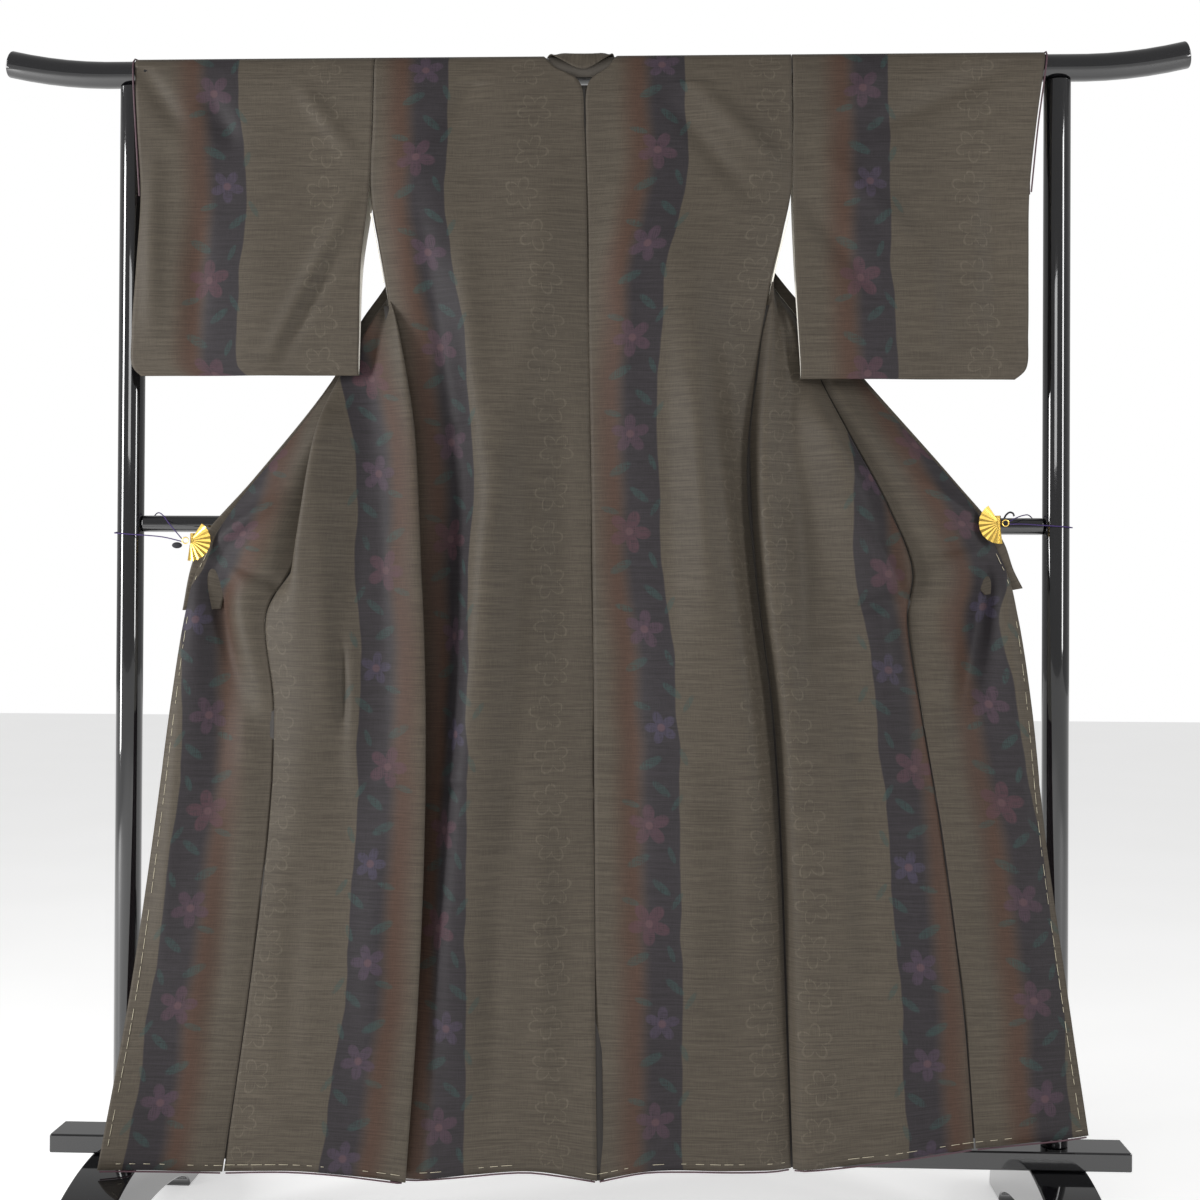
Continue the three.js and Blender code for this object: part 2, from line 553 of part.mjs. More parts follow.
// Cords from the rings: over the middle rail, round the back of the post and back along its front.
const CORD_LEFT = [
  [-580.8, -42, 1005], [-604, -25, 1027], [-620, -9, 1042], [-631, 4, 1045], [-642, 15, 1038],
  [-659, 22, 1030], [-677, 20.5, 1022], [-690, 6, 1017], [-690, -9, 1015], [-680, -20, 1014],
  [-662, -23.5, 1012.5], [-640, -27, 1011], [-610, -34, 1008], [-580.8, -42.5, 1001.5],
];
const CORD_RIGHT = [
  [594.3, -42, 1033.5], [608, -26, 1040], [620, -9, 1044], [631, 4, 1045.5], [642, 15, 1039],
  [659, 22, 1033], [677, 20.5, 1030], [690, 6, 1028], [690, -9, 1027], [680, -20, 1027.5],
  [662, -23.5, 1028.5], [640, -28, 1029.5], [616, -35, 1030.5], [594.3, -42.5, 1030],
];
const toVectors = (list) => list.map(([x, y, z]) => new THREE.Vector3(x, y, z));
add("cord_left", tube(toVectors(CORD_LEFT), CORD_DIAMETER, 8, 39), cordPurple);
add("cord_right", tube(toVectors(CORD_RIGHT), CORD_DIAMETER, 8, 39), cordPurple);

// The strap ends at the rings: a small bow on the left, a short curl on the right.
const BOW = { x: -588, y: -42, z: 996, length: 15, thickness: 6, height: 9 };
const bow = new THREE.SphereGeometry(0.5, 16, 10).scale(BOW.length, BOW.thickness, BOW.height);
add("strap_bow_left", bow, cordBlack).position.set(BOW.x, BOW.y, BOW.z);
const CURL = [[587, -43, 1037.5], [590, -43, 1043], [595, -43, 1046.5], [599.5, -43, 1045], [601, -43, 1041]];
add("strap_curl_right", tube(toVectors(CURL), 2.6, 8, 16), cordBlack);

export default object;
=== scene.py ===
import math

import bmesh
import bpy
import numpy as np
from mathutils import Matrix, Vector


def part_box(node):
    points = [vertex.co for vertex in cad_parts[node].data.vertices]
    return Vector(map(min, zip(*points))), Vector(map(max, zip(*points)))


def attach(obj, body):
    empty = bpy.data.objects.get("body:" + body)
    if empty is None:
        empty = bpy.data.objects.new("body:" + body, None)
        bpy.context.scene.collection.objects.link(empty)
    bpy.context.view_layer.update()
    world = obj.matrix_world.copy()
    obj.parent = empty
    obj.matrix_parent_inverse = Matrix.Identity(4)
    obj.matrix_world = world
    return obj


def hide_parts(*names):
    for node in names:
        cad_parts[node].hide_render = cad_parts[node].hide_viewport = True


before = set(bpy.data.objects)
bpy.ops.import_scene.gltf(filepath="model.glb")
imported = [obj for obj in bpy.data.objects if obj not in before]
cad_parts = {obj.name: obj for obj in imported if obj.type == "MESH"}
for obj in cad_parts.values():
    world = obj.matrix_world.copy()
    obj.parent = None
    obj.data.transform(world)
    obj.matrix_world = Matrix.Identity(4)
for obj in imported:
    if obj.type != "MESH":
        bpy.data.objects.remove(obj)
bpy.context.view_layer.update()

MM = 0.001
PLACES = 6
CLOTH_THICKNESS = 0.0012
WRAP_RADIUS = 21.2
RAIL_HEIGHT = 1686
COLLAR_RADIUS = 25
THIN_BAR = 0.005
BAR_EDGE = 0.0015
CORD_DIAMETER = 0.0016

# Camera: a level view from the front, a little to the right, as long a lens as a studio would use.
CAMERA_PLACE = (0.1148, -2.400, 0.9012)
CAMERA_YAW = math.radians(2.316)
CAMERA_PITCH = math.radians(0.469)
CAMERA_ROLL = math.radians(0.304)
CAMERA_LENS = 49.9

# The woven stripe, measured across the cloth from its sharp edge, in metres.
DARK_WIDTH = 0.066
RED_WIDTH = 0.105
FLOWER_STEP = 0.138
VINE_OFFSET = -0.118

# Back panels. Columns: height, centre seam, middle, ridge, valley, side edge.
# A place is (x, y) or (x, y, own height).

BACK_LEFT = [
    (110, (20.6, -66, 107), (-75, -74, 121), (-150, -77, 116), (-228, -72, 107), (-272, -66, 106)),
    (350, (16.6, -64), (-96, -76), (-185, -84), (-226, -62), (-266, -58)),
    (600, (13.6, -62), (-86, -78), (-173, -92), (-213, -54), (-254, -50)),
    (770, (11.6, -60), (-82, -78), (-159, -98), (-203, -50), (-248, -46)),
    (965, (8.6, -58), (-76, -76), (-142, -100), (-195, -50), (-252, -42)),
    (1108, (5.6, -54), (-70, -72), (-129, -90), (-188, -52), (-258, -38)),
    (1240, (2.6, -50), (-74, -68), (-138, -76), (-205, -50), (-272, -38)),
    (1374, (-0.4, -42), (-75, -58), (-150, -58), (-228, -48), (-291, -34)),
    (1505, (-3.4, -34), (-80, -46), (-158, -40), (-238, -46), (-314, -33)),
    (1600, (-7.4, -28), (-85, -35), (-165, -31), (-240, -34), (-312, -28)),
    (1664, (-15, -23), (-90, -26), (-170, -25), (-245, -26), (-311.5, -24)),
]

BACK_RIGHT = [
    (110, (21.4, -66, 107), (90, -74, 124), (200, -76, 127), (265, -72, 128), (291, -62, 129)),
    (350, (17.4, -64), (105, -76), (240, -80), (268, -72), (283, -58)),
    (600, (14.4, -62), (100, -78), (235, -86), (258, -72), (273, -54)),
    (770, (12.4, -60), (95, -78), (224, -92), (246, -68), (261, -50)),
    (965, (9.4, -58), (88, -76), (198, -94), (222, -64), (237, -46)),
    (1108, (6.4, -54), (80, -72), (182, -92), (208, -60), (226, -42)),
    (1240, (3.4, -50), (70, -66), (162, -84), (205, -52), (238, -40)),
    (1374, (0.4, -42), (60, -58), (144, -64), (205, -50), (259, -34)),
    (1505, (-2.6, -34), (58, -44), (135, -42), (215, -44), (288, -33)),
    (1600, (-4.8, -28), (60, -35), (138, -32), (215, -34), (289, -28)),
    (1664, (-1, -23), (60, -26), (140, -25), (220, -26), (288.5, -24)),
]

# Front panels, from the shoulder down. Columns: height, inner edge, pleat, middle, ridge, side edge.

FRONT_LEFT = [
    (1664, (-108, 24), (-160, 25), (-210, 24), (-262, 25), (-311.5, 24)),
    (1600, (-150, 20), (-190, 18), (-232, 22), (-275, 18), (-312, 22)),
    (1505, (-218, 16), (-240, 10), (-266, 6), (-292, 8), (-314, 10)),
    (1440, (-262, 16), (-270, 12), (-282, 7), (-296, 2), (-308, -2)),
    (1374, (-284, 12), (-287, 8), (-291, -2), (-292, -22), (-294, -16)),
    (1320, (-308, -12), (-309, -34), (-293, -32), (-274, -48), (-284, -22)),
    (1240, (-340, -16), (-357, -28), (-308, -42), (-256, -66), (-274, -28)),
    (1160, (-362, -38), (-380, -76), (-312, -54), (-243, -78), (-262, -32)),
    (1050, (-384, -46), (-399, -84), (-316, -60), (-235, -86), (-256, -36)),
    (965, (-416, -56), (-408, -88), (-320, -66), (-230, -92), (-254, -48)),
    (900, (-453, -58), (-404, -84), (-322, -68), (-226, -94), (-252, -52)),
    (770, (-441, -60), (-392, -80), (-325, -70), (-222, -94), (-249, -52)),
    (600, (-446, -64), (-400, -78), (-330, -72), (-222, -92), (-254, -56)),
    (350, (-474, -68), (-410, -76), (-335, -74), (-231, -86), (-266, -64)),
    (110, (-507, -69, 111), (-420, -73, 115), (-340, -75, 112), (-247, -82, 105), (-272, -72, 106)),
]

FRONT_RIGHT = [
    (1664, (52, 24), (120, 25), (180, 24), (240, 25), (288.5, 24)),
    (1600, (104, 20), (150, 18), (205, 22), (250, 18), (289, 22)),
    (1505, (184, 16), (208, 10), (238, 6), (268, 8), (288, 10)),
    (1440, (232, 16), (240, 12), (252, 7), (266, 2), (276, -2)),
    (1374, (266, 12), (265, 8), (263, -2), (264, -20), (261, -26)),
    (1320, (300, -12), (286, -34), (274, -30), (262, -42), (251, -32)),
    (1240, (330, -16), (310, -30), (284, -40), (256, -58), (241, -46)),
    (1160, (366, -48), (340, -74), (292, -54), (248, -68), (231.5, -46)),
    (1050, (424, -56), (385, -80), (312, -58), (248, -76), (234, -48)),
    (965, (456, -58), (410, -84), (332, -62), (257, -82), (240, -50)),
    (900, (449, -60), (410, -82), (346, -66), (264, -84), (247, -52)),
    (770, (467, -64), (425, -80), (370, -70), (282, -86), (264, -54)),
    (600, (496, -66), (440, -78), (380, -72), (293, -84), (276, -58)),
    (350, (528, -68), (460, -76), (390, -74), (302, -80), (286, -62)),
    (110, (543, -69, 163), (470, -74, 152), (400, -74, 141), (309, -76, 131), (294, -66, 129)),
]

# Overlap panels, top down. Columns: height, seam, ridge, trough, lip, front edge.

OVERLAP_LEFT = [
    (1424, (-270, 18.5), (-271, 18.6), (-272, 18.7), (-273, 18.8), (-274, 19)),
    (1374, (-286, 14.5), (-290, 14), (-294, 14), (-298, 14), (-302, 15)),
    (1320, (-310.5, -12), (-316, -12), (-322, -9), (-328, -5), (-334, -2)),
    (1240, (-342.5, -15), (-349, -17), (-356, -14), (-362, -10), (-368, -7)),
    (1160, (-364.5, -38), (-384, -46), (-398, -42), (-410, -35), (-420, -26)),
    (1050, (-386.5, -46), (-430, -60), (-465, -52), (-490, -44), (-508, -34)),
    (965, (-418.5, -56), (-470, -66), (-532, -44), (-548, -44), (-558, -41)),
    (900, (-454.5, -58), (-495, -65), (-530, -42), (-556, -50), (-574, -45)),
    (770, (-442.5, -60), (-480, -63), (-515, -46), (-560, -58), (-592, -48)),
    (600, (-447.5, -64), (-490, -67), (-530, -59), (-575, -62), (-614, -50)),
    (350, (-475.5, -68), (-520, -70), (-560, -70), (-605, -70), (-645, -66)),
    (110, (-508.5, -69, 111), (-556, -75, 113), (-606, -84, 116), (-643, -94, 119), (-677, -100, 120)),
]

OVERLAP_RIGHT = [
    (1424, (244, 18.5), (245, 18.6), (246, 18.7), (247, 18.8), (248, 19)),
    (1374, (268, 14.5), (273, 14), (278, 14), (282, 14), (286, 15)),
    (1320, (302.5, -11), (308, -12), (315, -10), (322, -7), (328, -4)),
    (1240, (332.5, -15), (345, -20), (360, -16), (375, -11), (388, -7)),
    (1160, (368.5, -48), (390, -54), (412, -46), (436, -36), (455, -26)),
    (1050, (426.5, -56), (455, -62), (490, -54), (520, -46), (548, -35)),
    (965, (458.5, -58), (500, -66), (556, -46), (578, -46), (591, -41)),
    (900, (451.5, -60), (505, -66), (560, -44), (590, -52), (606, -45)),
    (770, (469.5, -64), (510, -65), (555, -50), (595, -58), (625, -48)),
    (600, (498.5, -66), (535, -67), (570, -60), (607, -62), (643, -50)),
    (350, (530.5, -68), (567, -69), (603, -67), (640, -64), (678, -54)),
    (110, (545.5, -69, 163), (585, -69, 168), (625, -67, 172), (665, -64, 176), (703, -58, 180)),
]

# Turn over the rail, front to back. Columns: angle from the front, each strip's neck edge.

OVER_RAIL = [
    (0, -50, 26),
    (45, -64, 36),
    (90, -70, 40),
    (135, -80, 40),
    (180, -92, 40),
]

# Sleeves, round the sleeve from the top of the rail.
# Columns: height, depth at the armhole, depth at the cuff, armhole edge, cuff edge.

SLEEVE_LEFT = [
    (1707.2, 0, 0, -312.5, -662),
    (1701, -15, -15, -312.5, -662),
    (1686, -21.2, -21.2, -312.5, -661),
    (1600, -27, -27, -313.5, -655),
    (1500, -33, -35, -316.5, -646),
    (1400, -42, -44, -325.5, -649),
    (1300, -50, -48, -325.5, -654),
    (1252, -51, -47, -326, -653),
    (1239, -47, -45, -326, -641),
    (1252, -43, -43, -326, -653),
    (1300, -37, -44, -326, -654),
    (1400, -17, -40, -326, -649),
    (1500, 4, -27, -316.5, -644),
    (1600, 18, 8, -313.5, -644),
    (1664, 22.5, 21, -312.5, -646),
    (1686, 21.2, 21.2, -312.5, -647),
    (1701, 15, 15, -312.5, -650),
]

SLEEVE_RIGHT = [
    (1707.2, 0, 0, 290, 648),
    (1701, -15, -15, 290, 648),
    (1686, -21.2, -21.2, 290, 646),
    (1600, -27, -27, 290.6, 634),
    (1500, -35, -33, 290.4, 623),
    (1400, -43, -38, 293, 621),
    (1300, -49, -42, 298, 620),
    (1248, -50, -42, 301, 617),
    (1234, -46, -40, 301, 602),
    (1248, -42, -38, 301, 617),
    (1300, -36, -38, 298, 620),
    (1400, -14, -34, 293, 621),
    (1500, 8, -20, 290.4, 623),
    (1600, 20, 12, 290.6, 630),
    (1664, 22.5, 22, 290, 636),
    (1686, 21.2, 21.2, 290, 640),
    (1701, 15, 15, 290, 644),
]

# Collar. Columns: seam edge (x, y, z), free edge (x, y, z).

COLLAR_LEFT = [
    ((-580, -40, 903), (-526, -34, 905)),
    ((-569, -37, 965), (-515, -33, 950)),
    ((-553, -33, 1008), (-504, -29, 984)),
    ((-482, -22, 1094), (-440, -20, 1062)),
    ((-375, -6, 1234), (-333, -4, 1200)),
    ((-301, 19, 1372), (-259, 22, 1340)),
    ((-212, 22, 1500), (-170, 24, 1468)),
    ((-142, 25, 1600), (-100, 26, 1568)),
    ((-98, 27, 1664), (-58, 28, 1632)),
]

COLLAR_RIGHT = [
    ((46, 27, 1664), (10, 28, 1628)),
    ((95, 25, 1600), (57, 26, 1562)),
    ((172, 22, 1500), (134, 24, 1462)),
    ((286, 19, 1372), (246, 22, 1336)),
    ((400, -6, 1234), (364, -4, 1196)),
    ((520, -22, 1094), (482, -20, 1056)),
    ((586, -33, 1010), (545, -29, 975)),
    ((602, -37, 965), (550, -33, 946)),
    ((614, -40, 940), (562, -34, 930)),
]

# Collar over the rail. Columns: seam edge and free edge in x, angle where it starts, height of the free edge.

COLLAR_NECK = [
    (-73, -42, 150, 1650),
    (-60, -34, 92, 1662),
    (-48, -26, 38, 1670),
    (-9, -9, -8, 1674),
    (24, 8, 38, 1670),
    (33, 14, 92, 1662),
    (36, 16, 150, 1650),
]

# Cords from the clip rings round the posts and back.

CORD_LEFT = [
    (-580.8, -42, 1005), (-604, -25, 1027), (-620, -9, 1042), (-631, 4, 1045), (-642, 15, 1038),
    (-659, 22, 1030), (-677, 20.5, 1022), (-690, 6, 1017), (-690, -9, 1015), (-680, -20, 1014),
    (-662, -23.5, 1012.5), (-640, -27, 1011), (-610, -34, 1008), (-580.8, -42.5, 1001.5),
]

CORD_RIGHT = [
    (594.3, -42, 1033.5), (608, -26, 1040), (620, -9, 1044), (631, 4, 1045.5), (642, 15, 1039),
    (659, 22, 1033), (677, 20.5, 1030), (690, 6, 1028), (690, -9, 1027), (680, -20, 1027.5),
    (662, -23.5, 1028.5), (640, -28, 1029.5), (616, -35, 1030.5), (594.3, -42.5, 1030),
]

# Pressed and hanging creases of the cloth, in mm. A negative depth is a ridge towards the viewer.
# Columns: panel, start x, start z, end x, end z, width, depth.
CREASE_STRENGTH = 1.7
CREASES = [
    ("back_left", -275, 664, -20, 640, 7, 2.6),
    ("back_left", -262, 672, -150, 664, 7, -2.2),
    ("back_left", -200, 1160, -150, 1164, 7, 2.6),
    ("back_left", -150, 1690, -212, 1590, 14, 4.0),
    ("back_left", -60, 1480, -95, 1180, 26, -4.5),
    ("back_left", -35, 1250, -40, 760, 22, 4.0),
    ("back_left", -95, 1130, -105, 520, 24, 4.5),
    ("back_left", -250, 1500, -190, 1180, 18, 5.0),
    ("back_left", -180, 1440, -150, 1100, 20, -5.0),
    ("back_left", -60, 620, -55, 210, 20, -3.5),
    ("back_left", -120, 560, -130, 180, 18, 3.5),
    ("back_right", -5, 650, 280, 622, 7, 2.6),
    ("back_right", 130, 1680, 275, 1530, 16, -5.0),
    ("back_right", 110, 1640, 235, 1490, 14, 4.0),
    ("back_right", 45, 1500, 60, 1080, 24, -4.0),
    ("back_right", 110, 1350, 125, 820, 22, 5.0),
    ("back_right", 150, 1230, 175, 880, 12, -4.0),
    ("back_right", 60, 900, 75, 420, 22, 3.5),
    ("back_right", 150, 760, 160, 260, 22, -3.5),
    ("back_right", 205, 700, 215, 320, 14, 3.0),
    ("front_left", -460, 664, -225, 634, 7, 2.6),
    ("front_left", -330, 900, -322, 640, 14, -4.0),
    ("front_left", -345, 860, -340, 740, 7, 5.0),
    ("front_left", -370, 1060, -360, 720, 20, -4.0),
    ("front_left", -290, 1150, -275, 700, 18, 4.0),
    ("front_left", -400, 560, -420, 220, 20, 3.0),
    ("front_left", -290, 560, -300, 180, 22, -3.0),
    ("front_right", 300, 622, 500, 646, 7, 2.6),
    ("front_right", 300, 868, 395, 872, 9, 3.0),
    ("front_right", 350, 900, 445, 930, 12, 5.0),
    ("front_right", 400, 1010, 455, 905, 10, -5.0),
    ("front_right", 300, 1090, 310, 760, 18, 4.0),
    ("front_right", 350, 780, 372, 380, 20, -4.0),
    ("front_right", 430, 700, 460, 260, 20, 3.0),
    ("overlap_left", -600, 672, -445, 662, 7, 2.6),
    ("overlap_left", -545, 985, -470, 735, 20, 9.0),
    ("overlap_left", -540, 1000, -440, 1060, 12, -5.0),
    ("overlap_left", -530, 985, -420, 930, 10, 4.0),
    ("overlap_left", -580, 860, -600, 420, 16, -3.5),
    ("overlap_left", -500, 620, -530, 240, 20, 3.0),
    ("overlap_right", 478, 652, 655, 668, 7, 2.6),
    ("overlap_right", 575, 1000, 520, 745, 18, 8.0),
    ("overlap_right", 560, 1030, 470, 1090, 10, -5.0),
    ("overlap_right", 555, 1005, 470, 985, 9, 4.0),
    ("overlap_right", 600, 880, 640, 420, 16, -3.5),
    ("overlap_right", 560, 620, 590, 260, 20, 3.0),
    ("sleeve_left", -655, 1690, -590, 1600, 14, 4.0),
    ("sleeve_left", -560, 1650, -510, 1575, 16, 4.5),
    ("sleeve_left", -630, 1560, -625, 1300, 16, -4.0),
    ("sleeve_left", -335, 1500, -450, 1270, 14, -5.0),
    ("sleeve_left", -360, 1420, -440, 1260, 12, 4.0),
    ("sleeve_left", -560, 1480, -565, 1260, 20, 3.5),
    ("sleeve_left", -420, 1660, -340, 1560, 12, -3.5),
    ("sleeve_right", 400, 1590, 590, 1680, 14, 5.0),
    ("sleeve_right", 300, 1500, 410, 1350, 16, 5.0),
    ("sleeve_right", 330, 1560, 470, 1420, 14, -4.0),
    ("sleeve_right", 480, 1440, 490, 1260, 20, -3.5),
    ("sleeve_right", 570, 1540, 575, 1280, 18, 3.5),
    ("sleeve_right", 420, 1680, 330, 1600, 12, -3.5),
]


def spline(points, steps, closed=False):
    """Points of a centripetal Catmull-Rom curve through rows of numbers, steps to each stretch."""
    p = np.asarray(points, float)
    if closed:
        p = np.vstack([p[-1:], p, p[:2]])
    else:
        p = np.vstack([2 * p[:1] - p[1:2], p, 2 * p[-1:] - p[-2:-1]])
    result = []
    for k in range(1, len(p) - 2):
        a, b, c, d = p[k - 1], p[k], p[k + 1], p[k + 2]
        gaps = [max(np.linalg.norm(v - u), 1e-6) ** 0.5 for u, v in ((a, b), (b, c), (c, d))]
        g0, g1, g2 = gaps
        m1 = g1 * ((b - a) / g0 - (c - a) / (g0 + g1) + (c - b) / g1)
        m2 = g1 * ((c - b) / g1 - (d - b) / (g1 + g2) + (d - c) / g2)
        for i in range(steps):
            t = i / steps
            h = (2 * t**3 - 3 * t**2 + 1, t**3 - 2 * t**2 + t, -2 * t**3 + 3 * t**2, t**3 - t**2)
            result.append(h[0] * b + h[1] * m1 + h[2] * c + h[3] * m2)
    if not closed:
        result.append(p[-2])
    return np.array(result)


def spline_grid(rows, across, along, ringed=False):
    wide = [spline(row, across, ringed) for row in rows]
    columns = [spline([row[j] for row in wide], along) for j in range(len(wide[0]))]
    return np.array(columns).transpose(1, 0, 2)


def places(row):
    return [(x, y, own[0] if own else row[0]) for x, y, *own in row[1:]]


def over_rail(side, edge):
    rows = []
    for angle, left, right in OVER_RAIL:
        turn = math.radians(angle)
        y = -WRAP_RADIUS * math.cos(turn)
        z = RAIL_HEIGHT + WRAP_RADIUS * math.sin(turn)
        neck = left if side == "left" else right
        rows.append([(neck + (edge - neck) * k / 4, y, z) for k in range(5)])
    return rows


def crease(grid, panel, rows=slice(None)):
    """Moves a panel's points towards or away from the viewer along its creases."""
    part = grid[rows]
    for name, x0, z0, x1, z1, width, depth in CREASES:
        if name != panel:
            continue
        start, along = np.array([x0, z0]), np.array([x1 - x0, z1 - z0])
        offset = part[..., [0, 2]] - start
        t = (offset @ along) / (along @ along)
        clamped = np.clip(t, 0, 1)
        away = np.linalg.norm(offset - clamped[..., None] * along, axis=-1)
        fade = np.sin(np.pi * np.clip(clamped, 0.02, 0.98)) ** 0.5
        part[..., 1] += CREASE_STRENGTH * depth * fade * np.exp(-((away / width) ** 2))


def ripple(grid, seed, height):
    """Small uneven waves that hang down the cloth."""
    phase = np.random.RandomState(seed).uniform(0, 6.28, 8)
    x, z = grid[..., 0], grid[..., 2]
    wave = np.sin(x / 19 + 1.6 * np.sin(z / 310 + phase[0]) + phase[1])
    wave += 0.7 * np.sin(x / 31 + 2.2 * np.sin(z / 230 + phase[2]) + phase[3])
    wave += 0.35 * np.sin(z / 47 + x / 90 + phase[4])
    hang = np.clip((1690 - z) / 140, 0, 1)
    grid[..., 1] += height * wave * hang


def along_cloth(grid):
    """Distance along the cloth of each row of a grid, down its middle column."""
    middle = grid[:, grid.shape[1] // 2]
    steps = np.linalg.norm(np.diff(middle, axis=0), axis=1)
    return np.concatenate([[0], np.cumsum(steps)])


def across_cloth(grid, from_end):
    """Distance across the cloth of each point, from the first or the last column."""
    steps = np.linalg.norm(np.diff(grid, axis=1), axis=2)
    run = np.concatenate([np.zeros((len(grid), 1)), np.cumsum(steps, axis=1)], axis=1)
    return run[:, -1:] - run if from_end else run


def made_object(bm, name, materials, smooth=True):
    """An object at the origin from a finished bmesh."""
    mesh = bpy.data.meshes.new(name)
    bm.to_mesh(mesh)
    bm.free()
    if smooth:
        mesh.shade_smooth()
    obj = bpy.data.objects.new(name, mesh)
    bpy.context.collection.objects.link(obj)
    for material in materials:
        mesh.materials.append(material)
    return obj


def finish_piece(bm, name, materials, smooth=True):
    obj = made_object(bm, name, materials, smooth)
    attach(obj, "root")
    return obj


def thicken(obj, thickness, offset, lined_face=1, lined_rim=1):
    """Gives a cloth its thickness, with the lining on the inner face and, where asked, on the rim."""
    shell = obj.modifiers.new("Cloth thickness", "SOLIDIFY")
    shell.thickness = thickness
    shell.offset = offset
    shell.material_offset = lined_face
    shell.material_offset_rim = lined_rim


def reading_order(verts):
    return sorted(verts, key=lambda v: (round(v.co.y, PLACES), round(v.co.x, PLACES)))


def shaped_grid(points, columns):
    """A grid laid on rows of points in mm, and the row and column of each of its corners."""
    high, wide = points.shape[:2]
    bm = bmesh.new()
    bmesh.ops.create_grid(bm, x_segments=columns - 1, y_segments=high - 1, size=1)
    spots = {}
    for k, vert in enumerate(reading_order(bm.verts)):
        i, j = divmod(k, columns)
        spots[vert] = (i, j)
        vert.co = Vector(points[i, j % wide]) * MM
    return bm, spots


def map_cloth(bm, spots, place):
    """Lays the cloth's map, in metres from the stripe's sharp edge and along the cloth."""
    uv = bm.loops.layers.uv.new("Cloth")
    for face in bm.faces:
        for loop in face.loops:
            across, along = place(*spots[loop.vert])
            loop[uv].uv = (across * MM, along * MM)


def face_viewer(bm, nearer_than):
    """Turns the outer face of the cloth to the viewer, judged on the faces that lie in front."""
    front = [f for f in bm.faces if f.calc_center_median().y < nearer_than]
    if sum(f.normal.y * f.calc_area() for f in front) > 0:
        bmesh.ops.reverse_faces(bm, faces=bm.faces)


def cloth_piece(name, grid, across, sharp_edge, sign, lined_face=1, lined_rim=1):
    """A thin lined shell on a grid of points."""
    bm, spots = shaped_grid(grid, grid.shape[1])
    along = along_cloth(grid)
    map_cloth(bm, spots, lambda i, j: (sign * (across[i, j] - sharp_edge[i]), along[i]))
    bm.normal_update()
    face_viewer(bm, -0.02)
    piece = finish_piece(bm, name, (SILK, LINING))
    thicken(piece, CLOTH_THICKNESS, 0, lined_face, lined_rim)
    return piece


def soften(bm, edges, width, segments):
    bmesh.ops.bevel(bm, geom=edges, offset=width, segments=segments, profile=0.5, affect="EDGES", material=-1)


def cap_rims(bm):
    """Edges of the faces with more than four corners, which are the end or side faces."""
    return list({e for f in bm.faces if len(f.verts) > 4 for e in f.edges})


def bar(name, path, radius, material, segments=64):
    """A round bar along points, from a circle carried from point to point."""
    bm = bmesh.new()
    rings = []
    for k, p in enumerate(path):
        ahead = (path[min(k + 1, len(path) - 1)] - path[max(k - 1, 0)]).normalized()
        place = Matrix.Translation(p) @ ahead.to_track_quat("Z", "Y").to_matrix().to_4x4()
        made = bmesh.ops.create_circle(bm, cap_ends=False, segments=segments, radius=radius, matrix=place)
        rings.append(made["verts"])
    for pair in zip(rings, rings[1:]):
        edges = {e for ring in pair for v in ring for e in v.link_edges if all(w in ring for w in e.verts)}
        bmesh.ops.bridge_loops(bm, edges=list(edges))
    for ring in (rings[0], rings[-1]):
        bmesh.ops.contextual_create(bm, geom=ring)
    bmesh.ops.recalc_face_normals(bm, faces=bm.faces)
    if radius > THIN_BAR:
        soften(bm, cap_rims(bm), BAR_EDGE, 3)
    return finish_piece(bm, name, (material,))


# Materials


class Nodes:
    """Short calls for a material's node tree."""

    def __init__(self, name):
        self.material = bpy.data.materials.new(name)
        self.material.use_nodes = True
        self.tree = self.material.node_tree
        self.shader = self.tree.nodes["Principled BSDF"]

    def add(self, kind, **settings):
        node = self.tree.nodes.new(kind)
        for key, value in settings.items():
            setattr(node, key, value)
        return node

    def link(self, value, socket):
        if hasattr(value, "links"):
            self.tree.links.new(value, socket)
        else:
            socket.default_value = value

    def math(self, operation, *values, clamp=False):
        node = self.add("ShaderNodeMath", operation=operation, use_clamp=clamp)
        for k, value in enumerate(values):
            self.link(value, node.inputs[k])
        return node.outputs[0]

    def step(self, value, low, high):
        node = self.add("ShaderNodeMapRange", interpolation_type="SMOOTHSTEP")
        self.link(value, node.inputs["Value"])
        self.link(low, node.inputs["From Min"])
        self.link(high, node.inputs["From Max"])
        return node.outputs[0]

    def mix(self, factor, a, b):
        node = self.add("ShaderNodeMix", data_type="RGBA")
        self.link(factor, node.inputs["Factor"])
        self.link(a, node.inputs["A"])
        self.link(b, node.inputs["B"])
        return node.outputs["Result"]

    def noise(self, vector, scale, detail=2.0):
        node = self.add("ShaderNodeTexNoise")
        self.link(vector, node.inputs["Vector"])
        node.inputs["Scale"].default_value = scale
        node.inputs["Detail"].default_value = detail
        return node.outputs["Fac"]

    def vector(self, x, y, z=0.0):
        node = self.add("ShaderNodeCombineXYZ")
        for k, value in enumerate((x, y, z)):
            self.link(value, node.inputs[k])
        return node.outputs[0]

    def distance(self, x, y):
        squares = self.math("MULTIPLY", x, x), self.math("MULTIPLY", y, y)
        return self.math("SQRT", self.math("ADD", *squares))

    def bump(self, height, strength, distance):
        node = self.add("ShaderNodeBump")
        node.inputs["Strength"].default_value = strength
        node.inputs["Distance"].default_value = distance
        self.link(height, node.inputs["Height"])
        self.link(node.outputs[0], self.shader.inputs["Normal"])


